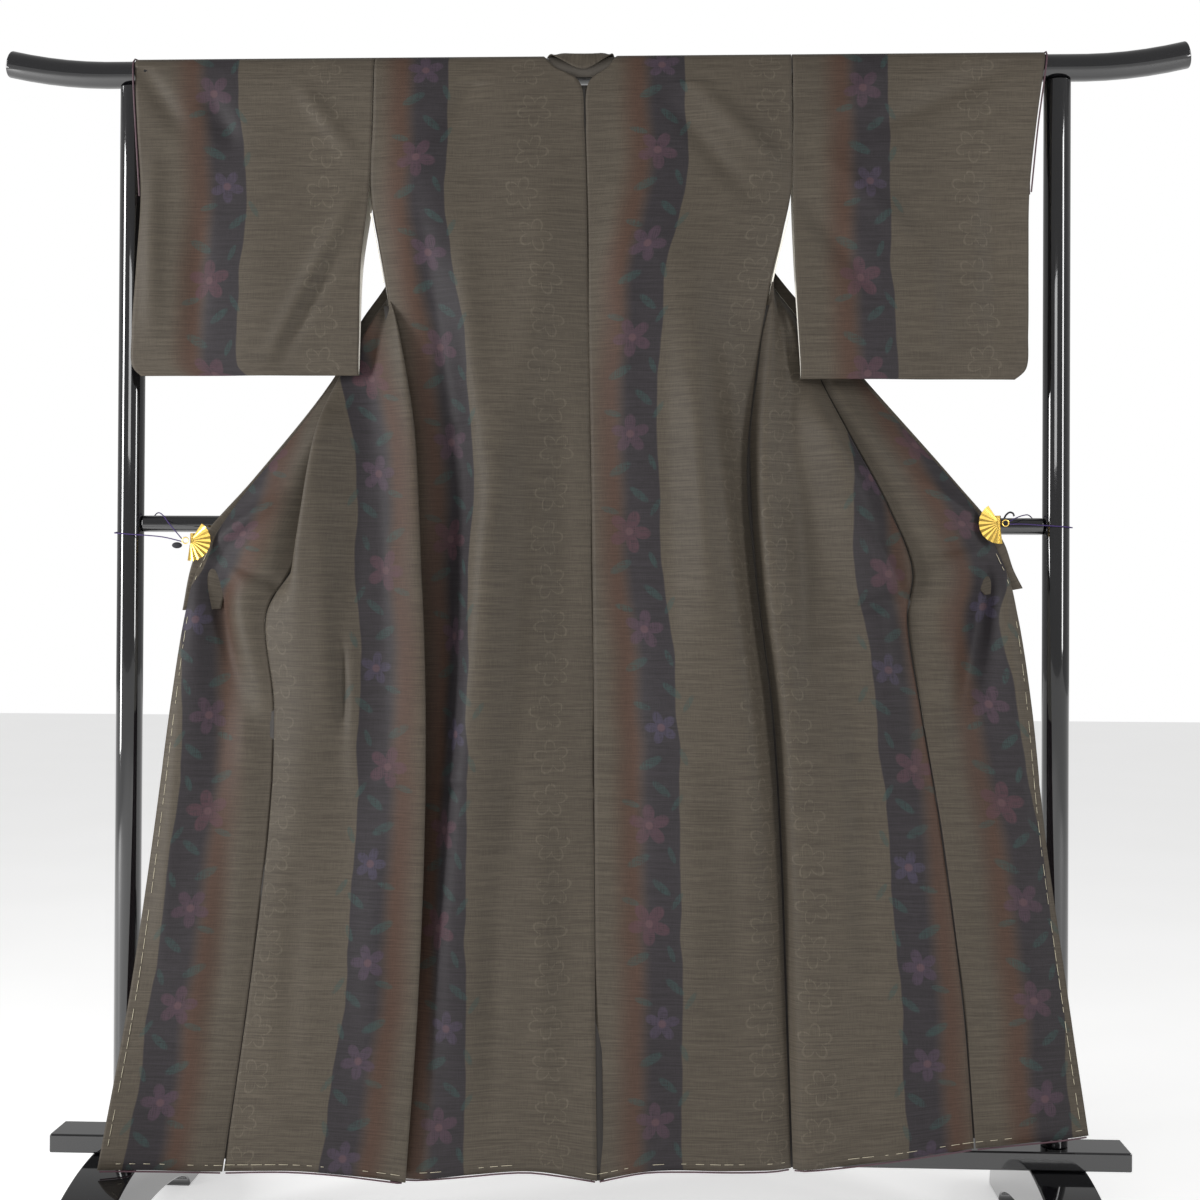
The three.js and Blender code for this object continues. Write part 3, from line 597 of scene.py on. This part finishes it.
def flower(n, across, along, size, turn, petals):
    """Distance inside a petalled outline, positive inside."""
    radius = n.distance(across, along)
    angle = n.math("ADD", n.math("ARCTAN2", along, across), turn)
    lobe = n.math("ABSOLUTE", n.math("COSINE", n.math("MULTIPLY", angle, petals / 2)))
    edge = n.math("MULTIPLY", size, n.math("ADD", 0.42, n.math("MULTIPLY", lobe, 0.58)))
    return n.math("SUBTRACT", edge, radius)


def silk_material():
    n = Nodes("slub_silk")
    cloth = n.add("ShaderNodeUVMap", uv_map="Cloth").outputs[0]
    split = n.add("ShaderNodeSeparateXYZ")
    n.link(cloth, split.inputs[0])
    u, v = split.outputs[0], split.outputs[1]
    # Weft slubs run across the cloth, fine warp lines along it.
    slub = n.noise(n.vector(n.math("MULTIPLY", u, 14), n.math("MULTIPLY", v, 420)), 1.0, 3)
    slub_fine = n.noise(n.vector(n.math("MULTIPLY", u, 60), n.math("MULTIPLY", v, 1500)), 1.0, 2)
    warp = n.noise(n.vector(n.math("MULTIPLY", u, 1500), n.math("MULTIPLY", v, 45)), 1.0, 2)
    twill = n.math("SINE", n.math("MULTIPLY", n.math("ADD", u, v), 2 * math.pi / 0.0016))
    cloud = n.noise(n.vector(n.math("MULTIPLY", u, 5), n.math("MULTIPLY", v, 2.2)), 1.0, 2)
    weave = n.math("ADD", n.math("MULTIPLY", slub, 0.9), n.math("MULTIPLY", slub_fine, 0.55))
    weave = n.math("ADD", weave, n.math("MULTIPLY", warp, 0.45))
    weave = n.math("ADD", weave, n.math("MULTIPLY", twill, 0.10))
    ground = n.mix(n.step(weave, 0.55, 1.35), (0.062, 0.050, 0.037, 1), (0.140, 0.118, 0.088, 1))
    # The stripe: a wandering sharp edge, a dark band and a rust fade on the other side.
    wander = n.noise(n.vector(0.0, n.math("MULTIPLY", v, 6.5)), 1.0, 2)
    wander = n.math("MULTIPLY", n.math("SUBTRACT", wander, 0.5), 0.022)
    s = n.math("ADD", u, wander)
    dark_end = n.math("SUBTRACT", 1.0, n.step(s, DARK_WIDTH * 0.62, DARK_WIDTH))
    dark = n.math("MULTIPLY", n.step(s, -0.0012, 0.0012), dark_end)
    rust_end = n.math("SUBTRACT", 1.0, n.step(s, DARK_WIDTH, RED_WIDTH))
    rust = n.math("MULTIPLY", n.step(s, 0.03, DARK_WIDTH), rust_end)
    rust_colour = n.mix(n.step(weave, 0.55, 1.35), (0.055, 0.026, 0.017, 1), (0.115, 0.060, 0.040, 1))
    dark_colour = n.mix(n.step(weave, 0.5, 1.4), (0.013, 0.012, 0.016, 1), (0.040, 0.036, 0.046, 1))
    colour = n.mix(n.math("MULTIPLY", rust, 0.9), ground, rust_colour)
    colour = n.mix(n.math("MULTIPLY", dark, 0.95), colour, dark_colour)
    # Flowers down the dark band, one to a step, each turned and coloured on its own.
    row = n.math("FLOOR", n.math("DIVIDE", v, FLOWER_STEP))
    chance = n.add("ShaderNodeTexWhiteNoise", noise_dimensions="1D")
    n.link(row, chance.inputs["W"])
    pick = chance.outputs["Value"]
    local = n.math("SUBTRACT", v, n.math("MULTIPLY", n.math("ADD", row, 0.5), FLOWER_STEP))
    sway = n.math("MULTIPLY", n.math("SUBTRACT", pick, 0.5), 0.024)
    x = n.math("SUBTRACT", n.math("SUBTRACT", u, 0.036), sway)
    size = n.math("ADD", 0.024, n.math("MULTIPLY", pick, 0.008))
    turn = n.math("MULTIPLY", pick, 6.0)
    bloom = flower(n, x, local, size, turn, 5)
    speckle = n.step(n.math("ADD", slub_fine, warp), 0.72, 1.05)
    petals = n.math("MULTIPLY", n.step(bloom, -0.001, 0.003), speckle)
    petal_colour = n.mix(pick, (0.070, 0.060, 0.105, 1), (0.115, 0.048, 0.062, 1))
    colour = n.mix(n.math("MULTIPLY", petals, 0.68), colour, petal_colour)
    heart = n.math("SUBTRACT", 0.006, n.distance(x, local))
    colour = n.mix(n.math("MULTIPLY", n.step(heart, -0.001, 0.002), 0.5), colour, (0.15, 0.08, 0.09, 1))
    # Leaves between the flowers and small sprigs over the sharp edge.
    for across, along, length, thin, lean in (
        (0.018, 0.052, 0.017, 0.006, 0.7), (0.052, -0.050, 0.019, 0.007, -0.5),
        (0.005, -0.040, 0.013, 0.0045, 1.2), (-0.004, 0.034, 0.015, 0.0042, -1.0),
        (0.062, 0.030, 0.014, 0.005, 0.3),
    ):
        a = n.math("SUBTRACT", n.math("SUBTRACT", u, across), sway)
        b = n.math("SUBTRACT", local, along)
        p = n.math("ADD", n.math("MULTIPLY", a, math.cos(lean)), n.math("MULTIPLY", b, math.sin(lean)))
        q = n.math("SUBTRACT", n.math("MULTIPLY", b, math.cos(lean)), n.math("MULTIPLY", a, math.sin(lean)))
        reach = n.math("ADD", n.math("POWER", n.math("ABSOLUTE", n.math("DIVIDE", p, length)), 2.0),
                       n.math("POWER", n.math("ABSOLUTE", n.math("DIVIDE", q, thin)), 2.0))
        inside = n.math("SUBTRACT", 1.0, n.step(reach, 0.6, 1.1))
        leaf = n.math("MULTIPLY", inside, n.step(n.math("ADD", slub_fine, warp), 0.80, 1.1))
        colour = n.mix(n.math("MULTIPLY", leaf, 0.6), colour, (0.035, 0.085, 0.080, 1))
    # A column of pale flower outlines on the plain ground.
    vine_row = n.math("FLOOR", n.math("DIVIDE", v, 0.062))
    vine_local = n.math("SUBTRACT", v, n.math("MULTIPLY", n.math("ADD", vine_row, 0.5), 0.062))
    chance2 = n.add("ShaderNodeTexWhiteNoise", noise_dimensions="1D")
    n.link(n.math("ADD", vine_row, 40.0), chance2.inputs["W"])
    shift = n.math("MULTIPLY", n.math("SUBTRACT", chance2.outputs["Value"], 0.5), 0.016)
    outline = flower(n, n.math("SUBTRACT", n.math("SUBTRACT", u, VINE_OFFSET), shift), vine_local, 0.024,
                     n.math("MULTIPLY", chance2.outputs["Value"], 6.0), 5)
    ring = n.math("SUBTRACT", 1.0, n.step(n.math("ABSOLUTE", outline), 0.0008, 0.0022))
    ring = n.math("MULTIPLY", ring, n.step(warp, 0.35, 0.6))
    colour = n.mix(n.math("MULTIPLY", ring, 0.34), colour, (0.25, 0.22, 0.165, 1))
    shadow = n.math("ADD", 0.26, n.math("MULTIPLY", n.math("SUBTRACT", 1.0, cloud), 0.34))
    shade = n.mix(shadow, colour, (0.012, 0.009, 0.007, 1))
    n.link(shade, n.shader.inputs["Base Color"])
    n.shader.inputs["Roughness"].default_value = 0.58
    n.shader.inputs["Specular IOR Level"].default_value = 0.22
    n.shader.inputs["Sheen Weight"].default_value = 0.03
    n.shader.inputs["Sheen Roughness"].default_value = 0.45
    n.bump(weave, 0.35, 0.0006)
    return n.material


def lining_material():
    n = Nodes("silk_lining")
    where = n.add("ShaderNodeTexCoord").outputs["Object"]
    split = n.add("ShaderNodeSeparateXYZ")
    n.link(where, split.inputs[0])
    weave = n.noise(where, 900.0, 2)
    upper = n.step(split.outputs[2], 0.742, 0.746)
    plum = n.mix(weave, (0.050, 0.022, 0.030, 1), (0.085, 0.042, 0.052, 1))
    white = n.mix(weave, (0.60, 0.57, 0.50, 1), (0.78, 0.75, 0.68, 1))
    n.link(n.mix(upper, plum, white), n.shader.inputs["Base Color"])
    n.shader.inputs["Roughness"].default_value = 0.5
    n.bump(weave, 0.15, 0.0003)
    return n.material


def plain_material(name, colour, roughness, metallic=0.0, coat=0.0, grain=0.0, scale=60.0):
    n = Nodes(name)
    where = n.add("ShaderNodeTexCoord").outputs["Object"]
    noise = n.noise(where, scale, 4)
    light = tuple(min(1, c * 1.35 + 0.002) for c in colour[:3]) + (1,)
    n.link(n.mix(noise, colour, light), n.shader.inputs["Base Color"])
    low, high = roughness
    rough = n.add("ShaderNodeMapRange")
    n.link(noise, rough.inputs["Value"])
    rough.inputs["To Min"].default_value = low
    rough.inputs["To Max"].default_value = high
    n.link(rough.outputs[0], n.shader.inputs["Roughness"])
    n.shader.inputs["Metallic"].default_value = metallic
    n.shader.inputs["Coat Weight"].default_value = coat
    n.shader.inputs["Coat Roughness"].default_value = 0.03
    if grain:
        n.bump(noise, grain, 0.0004)
    return n.material


SILK = silk_material()
LINING = lining_material()
LACQUER = plain_material("black_lacquer", (0.0035, 0.0035, 0.0042, 1), (0.04, 0.12), coat=1.0, scale=9.0)
GILT = plain_material("gilt_brass", (0.80, 0.52, 0.12, 1), (0.18, 0.32), metallic=1.0, grain=0.1, scale=400.0)
PLUM = plain_material("plum_silk", (0.052, 0.022, 0.030, 1), (0.45, 0.6), grain=0.3, scale=900.0)
WHITE = plain_material("white_silk", (0.70, 0.67, 0.60, 1), (0.45, 0.6), grain=0.3, scale=900.0)
CORD = plain_material("purple_cord", (0.030, 0.014, 0.085, 1), (0.7, 0.9), grain=0.6, scale=1600.0)
STRAP = plain_material("black_strap", (0.006, 0.006, 0.010, 1), (0.6, 0.8), grain=0.6, scale=1600.0)
THREAD = plain_material("basting_thread", (0.42, 0.38, 0.28, 1), (0.6, 0.8), grain=0.3, scale=1200.0)

# The camera comes first.
camera_data = bpy.data.cameras.new("Camera")
camera_data.lens = CAMERA_LENS
camera_data.sensor_width = 36
camera = bpy.data.objects.new("Camera", camera_data)
bpy.context.collection.objects.link(camera)
turn = Matrix.Rotation(CAMERA_YAW, 4, "Z") @ Matrix.Rotation(math.pi / 2 + CAMERA_PITCH, 4, "X")
camera.matrix_world = Matrix.Translation(CAMERA_PLACE) @ turn @ Matrix.Rotation(CAMERA_ROLL, 4, "Z")
bpy.context.scene.camera = camera

# Cords
def cord(side, table):
    path = [Vector(p) * MM for p in spline(table, 6)]
    piece = bar(f"cord_{side}_twisted", path, CORD_DIAMETER / 2, CORD, segments=10)
    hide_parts(f"cord_{side}")


cord("left", CORD_LEFT)
cord("right", CORD_RIGHT)

# Body strips
ACROSS, ALONG = 14, 20
FRONT_CREASES = 4
TURNOVER = 5
BACK_ROWS = (len(BACK_LEFT) - 1) * ALONG
FRONT_START = (len(BACK_LEFT) + len(OVER_RAIL)) * ALONG


def body_strip(side, back, front, edge, number):
    rows = [places(r) for r in back]
    rows += over_rail(side, edge)
    rows += [places(r) for r in front]
    grid = spline_grid(rows, ACROSS, ALONG)
    measured = across_cloth(grid, True)
    ripple(grid, number, 1.1)
    crease(grid, f"back_{side}", slice(0, BACK_ROWS))
    crease(grid, f"front_{side}", slice(FRONT_START + FRONT_CREASES * ALONG, None))
    turnover = np.clip((np.arange(len(grid)) - FRONT_START) / (TURNOVER * ALONG), 0, 1)
    if side == "left":
        return grid, cloth_piece("body_left_cloth", grid, measured, 108 + 42 * turnover, -1)
    return grid, cloth_piece("body_right_cloth", grid, measured, 152 + 12 * turnover, 1)


left_grid, body_left = body_strip("left", BACK_LEFT, FRONT_LEFT, -311.5, 3)
right_grid, body_right = body_strip("right", BACK_RIGHT, FRONT_RIGHT, 288.5, 5)


PANEL_SHARP_EDGE = 137.0
COLLAR_SHARP_EDGE = 60.0


def overlap(side, table, number):
    grid = spline_grid([places(r) for r in table], 12, 14)
    measured = across_cloth(grid, False)
    ripple(grid, number, 0.9)
    crease(grid, f"overlap_{side}")
    sharp_edge = np.full(len(grid), PANEL_SHARP_EDGE)
    return grid, cloth_piece(f"overlap_{side}_cloth", grid, measured, sharp_edge, -1)


left_overlap_grid, overlap_left = overlap("left", OVERLAP_LEFT, 11)
right_overlap_grid, overlap_right = overlap("right", OVERLAP_RIGHT, 12)


STATIONS = 17
FRONT_OF_WRAP = -20


def sleeve_grid(side, table, number):
    """Rings of a sleeve from its armhole to its cuff, creased on the viewer's side."""
    waves = np.random.RandomState(number).uniform(0, 6.28, 3)
    rings = []
    for k in range(STATIONS):
        t = k / (STATIONS - 1)
        wave = -2.0 + 1.8 * math.cos(7.5 * t + waves[0]) + 0.9 * math.cos(17 * t + waves[1])
        ring = []
        for z, y_arm, y_cuff, x_arm, x_cuff in table:
            hang = min(max((RAIL_HEIGHT - z) / 200, 0), 1)
            y = y_arm + (y_cuff - y_arm) * t + hang * wave * math.sin(math.pi * t) ** 0.5
            ring.append((x_arm + (x_cuff - x_arm) * t, y, z))
        rings.append(ring)
    grid = spline_grid(rings, 9, 5, True)
    plain = grid.copy()
    crease(grid, f"sleeve_{side}")
    hidden = plain[..., 1] >= FRONT_OF_WRAP
    grid[hidden] = plain[hidden]
    return grid


def sleeve_piece(side, table, number, sharp_edge):
    """A closed sleeve. Its map runs from the cuff on the left one, from the armhole on the right one."""
    grid = sleeve_grid(side, table, number)
    high, wide = grid.shape[:2]
    across = across_cloth(grid.transpose(1, 0, 2), side == "left")
    round_sleeve = np.cumsum(np.linalg.norm(np.diff(grid[high // 2], axis=0), axis=1))
    along = np.concatenate([[0], round_sleeve, [round_sleeve[-1] + 5]])
    bm, spots = shaped_grid(grid, wide + 1)
    map_cloth(bm, spots, lambda i, j: (sharp_edge - across[j % wide, i], along[j]))
    bmesh.ops.remove_doubles(bm, verts=bm.verts, dist=1e-6)
    bmesh.ops.recalc_face_normals(bm, faces=bm.faces)
    face_viewer(bm, -0.03)
    piece = finish_piece(bm, f"sleeve_{side}_cloth", (SILK, LINING))
    thicken(piece, CLOTH_THICKNESS, 0, lined_rim=0)
    return piece


sleeve_left = sleeve_piece("left", SLEEVE_LEFT, 21, 154)
sleeve_right = sleeve_piece("right", SLEEVE_RIGHT, 22, 137)


def collar_rows():
    steps = (0, 0.25, 0.5, 0.75, 1)
    lines = [[[np.array(s) + (np.array(f) - np.array(s)) * t for t in steps] for s, f in table]
             for table in (COLLAR_LEFT, COLLAR_RIGHT)]
    neck = []
    for seam, free, angle, height in COLLAR_NECK:
        start = math.radians(angle)
        arc = COLLAR_RADIUS * (math.pi - start)
        row = []
        for t in steps:
            run = t * (arc + RAIL_HEIGHT - height)
            turn_here = start + min(run, arc) / COLLAR_RADIUS
            z = RAIL_HEIGHT + COLLAR_RADIUS * math.sin(turn_here) - max(0, run - arc)
            row.append((seam + (free - seam) * t, -COLLAR_RADIUS * math.cos(turn_here), z))
        neck.append(row)
    return lines[0] + neck + lines[1]


collar_grid = spline_grid(collar_rows(), 5, 8)
collar_edge = np.full(len(collar_grid), COLLAR_SHARP_EDGE)
# The collar is a folded band, so both its faces are the outer cloth.
collar = cloth_piece("collar_cloth", collar_grid, across_cloth(collar_grid, False), collar_edge, 1, 0, 0)

for piece, node in ((body_left, "body_left"), (body_right, "body_right"), (overlap_left, "overlap_left"),
                    (overlap_right, "overlap_right"), (sleeve_left, "sleeve_left"),
                    (sleeve_right, "sleeve_right"), (collar, "collar")):
    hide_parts(node)


# Basting stitches: a running thread a few millimetres inside the hem and front edges.
STITCH, GAP, THREAD_WIDTH = 0.016, 0.004, 0.0007
SHORTEST_STITCH = 0.004
HEM_INSET = 9
EDGE_START = 0.52


def basting(bm, line):
    """Short flat-lying round stitches along a line of points in metres."""
    points = [Vector(p) for p in line]
    done = 0.0
    for a, b in zip(points, points[1:]):
        length = (b - a).length
        while done < length:
            end = min(done + STITCH, length)
            start_point = a.lerp(b, done / length)
            end_point = a.lerp(b, end / length)
            axis = end_point - start_point
            if axis.length > SHORTEST_STITCH:
                turned = axis.to_track_quat("Z", "Y").to_matrix().to_4x4()
                place = Matrix.Translation((start_point + end_point) / 2) @ turned
                bmesh.ops.create_cone(bm, cap_ends=True, segments=6, radius1=THREAD_WIDTH / 2,
                                      radius2=THREAD_WIDTH / 2, depth=axis.length, matrix=place)
            done += STITCH + GAP
        done -= length


def lifted(points):
    return [Vector(p) * MM + Vector((0, -0.0011, 0)) for p in points]


stitches = bmesh.new()
for grid, ends in ((left_grid, (0, -1)), (right_grid, (0, -1)), (left_overlap_grid, (-1,)),
                   (right_overlap_grid, (-1,))):
    for end in ends:
        line = grid[end].copy()
        line[:, 2] += HEM_INSET
        basting(stitches, lifted(line[::3]))
for grid in (left_overlap_grid, right_overlap_grid):
    start = int(len(grid) * EDGE_START)
    basting(stitches, lifted([row[-4] for row in grid[start::4]]))
finish_piece(stitches, "basting_thread", (THREAD,))


# Strips behind the seams, which close the gaps between the panels to the light. They are real seam
# allowances, but their near-black colour is painted shade for the shadowed seam folds.
SEAM_SHADE_CLOTH = plain_material("seam_cloth_painted_shade", (0.016, 0.013, 0.011, 1), (0.6, 0.8), grain=0.3, scale=900.0)


SIDE_SEAM_TOP, CENTRE_SEAM_TOP, FRONT_SEAM_TOP = 1350, 1690, 1200


def below(part, column, top):
    return part[part[:, column, 2] < top][:, column]


def allowance(bm, line, half, behind):
    """A strip of twice the half width along a line, a little behind it, in mm."""
    points = sorted(line[::3], key=lambda p: p[2])
    before = set(bm.verts)
    bmesh.ops.create_grid(bm, x_segments=1, y_segments=len(points) - 1, size=1)
    for k, vert in enumerate(reading_order(v for v in bm.verts if v not in before)):
        x, y, z = points[k // 2]
        vert.co = Vector((x + (half if k % 2 else -half), y + behind, z)) * MM


seams = bmesh.new()
for grid in (left_grid, right_grid):
    back_part = grid[:BACK_ROWS]
    front_part = grid[FRONT_START + FRONT_CREASES * ALONG:]
    allowance(seams, below(back_part, -1, SIDE_SEAM_TOP), 8.0, 2.2)
    allowance(seams, below(back_part, 0, CENTRE_SEAM_TOP), 9.0, 1.6)
    allowance(seams, below(front_part, 0, FRONT_SEAM_TOP), 7.0, 2.4)
for panel in (left_overlap_grid, right_overlap_grid):
    allowance(seams, panel[:, 0], 7.0, 2.4)
allowances = finish_piece(seams, "seam_allowances", (SEAM_SHADE_CLOTH, LINING))
thicken(allowances, 0.0006, -1)


# A band of cloth close round the rail, which covers it between the two strips at the neck.
NECK_CLOTH = plain_material("neck_cloth", (0.034, 0.028, 0.021, 1), (0.6, 0.8), grain=0.4, scale=700.0)
NECK_RADIUS, NECK_UNDER = 20.0, 10
neck_low = OVER_RAIL[0][1] - NECK_UNDER
neck_high = OVER_RAIL[0][2] + NECK_UNDER
neck = bmesh.new()
bmesh.ops.create_grid(neck, x_segments=12, y_segments=32, size=1)
for vert in neck.verts:
    around = math.radians(75 + 115 * vert.co.y)
    x = neck_low + (neck_high - neck_low) * (vert.co.x + 1) / 2
    y = -NECK_RADIUS * math.cos(around)
    z = RAIL_HEIGHT + NECK_RADIUS * math.sin(around)
    vert.co = Vector((x, y, z)) * MM
finish_piece(neck, "neck_fold", (NECK_CLOTH,))


# Stand, in finer rounds than the solids it stands for
RAIL_RADIUS = 0.019
RAIL_STRAIGHT = 0.700
RAIL_RISE = 0.0175
RAIL_STEPS = 60
BEAM_EDGE, FOOT_EDGE = 0.0025, 0.0028
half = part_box("top_rail")[1].x
rail_points = []
for k in range(RAIL_STEPS + 1):
    x = -half + 2 * half * k / RAIL_STEPS
    past = max(0, abs(x) - RAIL_STRAIGHT) / (half - RAIL_STRAIGHT)
    rail_points.append(Vector((x, 0, RAIL_HEIGHT * MM + RAIL_RISE * past**2)))
rail = bar("top_rail_lacquered", rail_points, RAIL_RADIUS, LACQUER)
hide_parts("top_rail")

for side in ("left", "right"):
    low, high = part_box(f"post_{side}")
    centre = (low + high) / 2
    ends = [Vector((centre.x, 0, low.z)), Vector((centre.x, 0, high.z))]
    post = bar(f"post_{side}_lacquered", ends, (high.x - low.x) / 2, LACQUER)
    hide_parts(f"post_{side}")

low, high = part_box("mid_rail")
middle = (low.z + high.z) / 2
ends = [Vector((low.x, 0, middle)), Vector((high.x, 0, middle))]
mid = bar("mid_rail_lacquered", ends, (high.z - low.z) / 2, LACQUER)
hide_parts("mid_rail")

low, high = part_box("base_beam")
bm = bmesh.new()
place = Matrix.Translation((low + high) / 2) @ Matrix.Diagonal((*(high - low), 1))
bmesh.ops.create_cube(bm, size=1, matrix=place)
soften(bm, bm.edges[:], BEAM_EDGE, 4)
beam = finish_piece(bm, "base_beam_lacquered", (LACQUER,), smooth=False)
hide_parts("base_beam")

FOOT_ARCH_HALF, FOOT_ARCH_HEIGHT = 0.190, 0.045
for side in ("left", "right"):
    low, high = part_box(f"foot_{side}")
    outline = [(high.y * math.cos(a), high.z * math.sin(a)) for a in np.linspace(0, math.pi, 73)]
    arch_turns = np.linspace(0, math.pi, 49)
    arch = [(-FOOT_ARCH_HALF * math.cos(a), FOOT_ARCH_HEIGHT * math.sin(a)) for a in arch_turns]
    bm = bmesh.new()
    ring = [bm.verts.new((low.x, y, z)) for y, z in outline + arch]
    face = bm.faces.new(ring)
    made = bmesh.ops.extrude_face_region(bm, geom=[face])
    moved = [g for g in made["geom"] if isinstance(g, bmesh.types.BMVert)]
    bmesh.ops.translate(bm, vec=(high.x - low.x, 0, 0), verts=moved)
    bmesh.ops.recalc_face_normals(bm, faces=bm.faces)
    soften(bm, cap_rims(bm), FOOT_EDGE, 4)
    foot = finish_piece(bm, f"foot_{side}_lacquered", (LACQUER,))
    foot.modifiers.new("Flat sides", "WEIGHTED_NORMAL")
    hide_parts(f"foot_{side}")

# Clips, straps and lining edges keep their solids' shapes and take their finishes.
FINISHES = (("clip_", GILT), ("hem_lining", PLUM), ("cuff_lining", PLUM), ("armhole_lining", WHITE),
            ("strap", STRAP))
for name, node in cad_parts.items():
    for start, finish in FINISHES:
        if name.startswith(start):
            node.data.materials.clear()
            node.data.materials.append(finish)


# Floor and light
def area_light(name, place, aim, width, height, power):
    data = bpy.data.lights.new(name, "AREA")
    data.shape = "RECTANGLE"
    data.size = width
    data.size_y = height
    data.energy = power
    lamp = bpy.data.objects.new(name, data)
    lamp.location = place
    lamp.rotation_euler = (Vector(aim) - Vector(place)).to_track_quat("-Z", "Y").to_euler()
    bpy.context.collection.objects.link(lamp)


bm = bmesh.new()
bmesh.ops.create_grid(bm, x_segments=1, y_segments=1, size=12)
pale_floor = plain_material("pale_floor", (0.90, 0.90, 0.89, 1), (0.5, 0.6), scale=2.0)
floor = made_object(bm, "floor", (pale_floor,), smooth=False)
floor_shader = pale_floor.node_tree.nodes["Principled BSDF"]
floor_shader.inputs["Emission Color"].default_value = (1, 1, 1, 1)
floor_shader.inputs["Emission Strength"].default_value = 0.45

world = bpy.data.worlds.new("Studio")
world.use_nodes = True
# The wall behind is white to the eye, and gives only a part of the light.
world_tree = world.node_tree
path = world_tree.nodes.new("ShaderNodeLightPath")
strength = world_tree.nodes.new("ShaderNodeMapRange")
strength.inputs["To Min"].default_value = 0.34
strength.inputs["To Max"].default_value = 1.0
world_tree.links.new(path.outputs["Is Camera Ray"], strength.inputs["Value"])
world_tree.links.new(strength.outputs[0], world_tree.nodes["Background"].inputs[1])
world_tree.nodes["Background"].inputs[0].default_value = (1, 1, 1, 1)
bpy.context.scene.world = world
bpy.context.scene.view_settings.view_transform = "Standard"
area_light("left_softbox", (-2.9, -1.3, 1.5), (0, 0, 0.95), 0.6, 2.4, 92)
area_light("right_softbox", (2.6, -1.9, 1.8), (0, 0, 0.9), 0.5, 2.2, 44)
area_light("front_softbox", (-0.6, -4.2, 2.4), (0, 0, 0.9), 1.6, 1.2, 30)
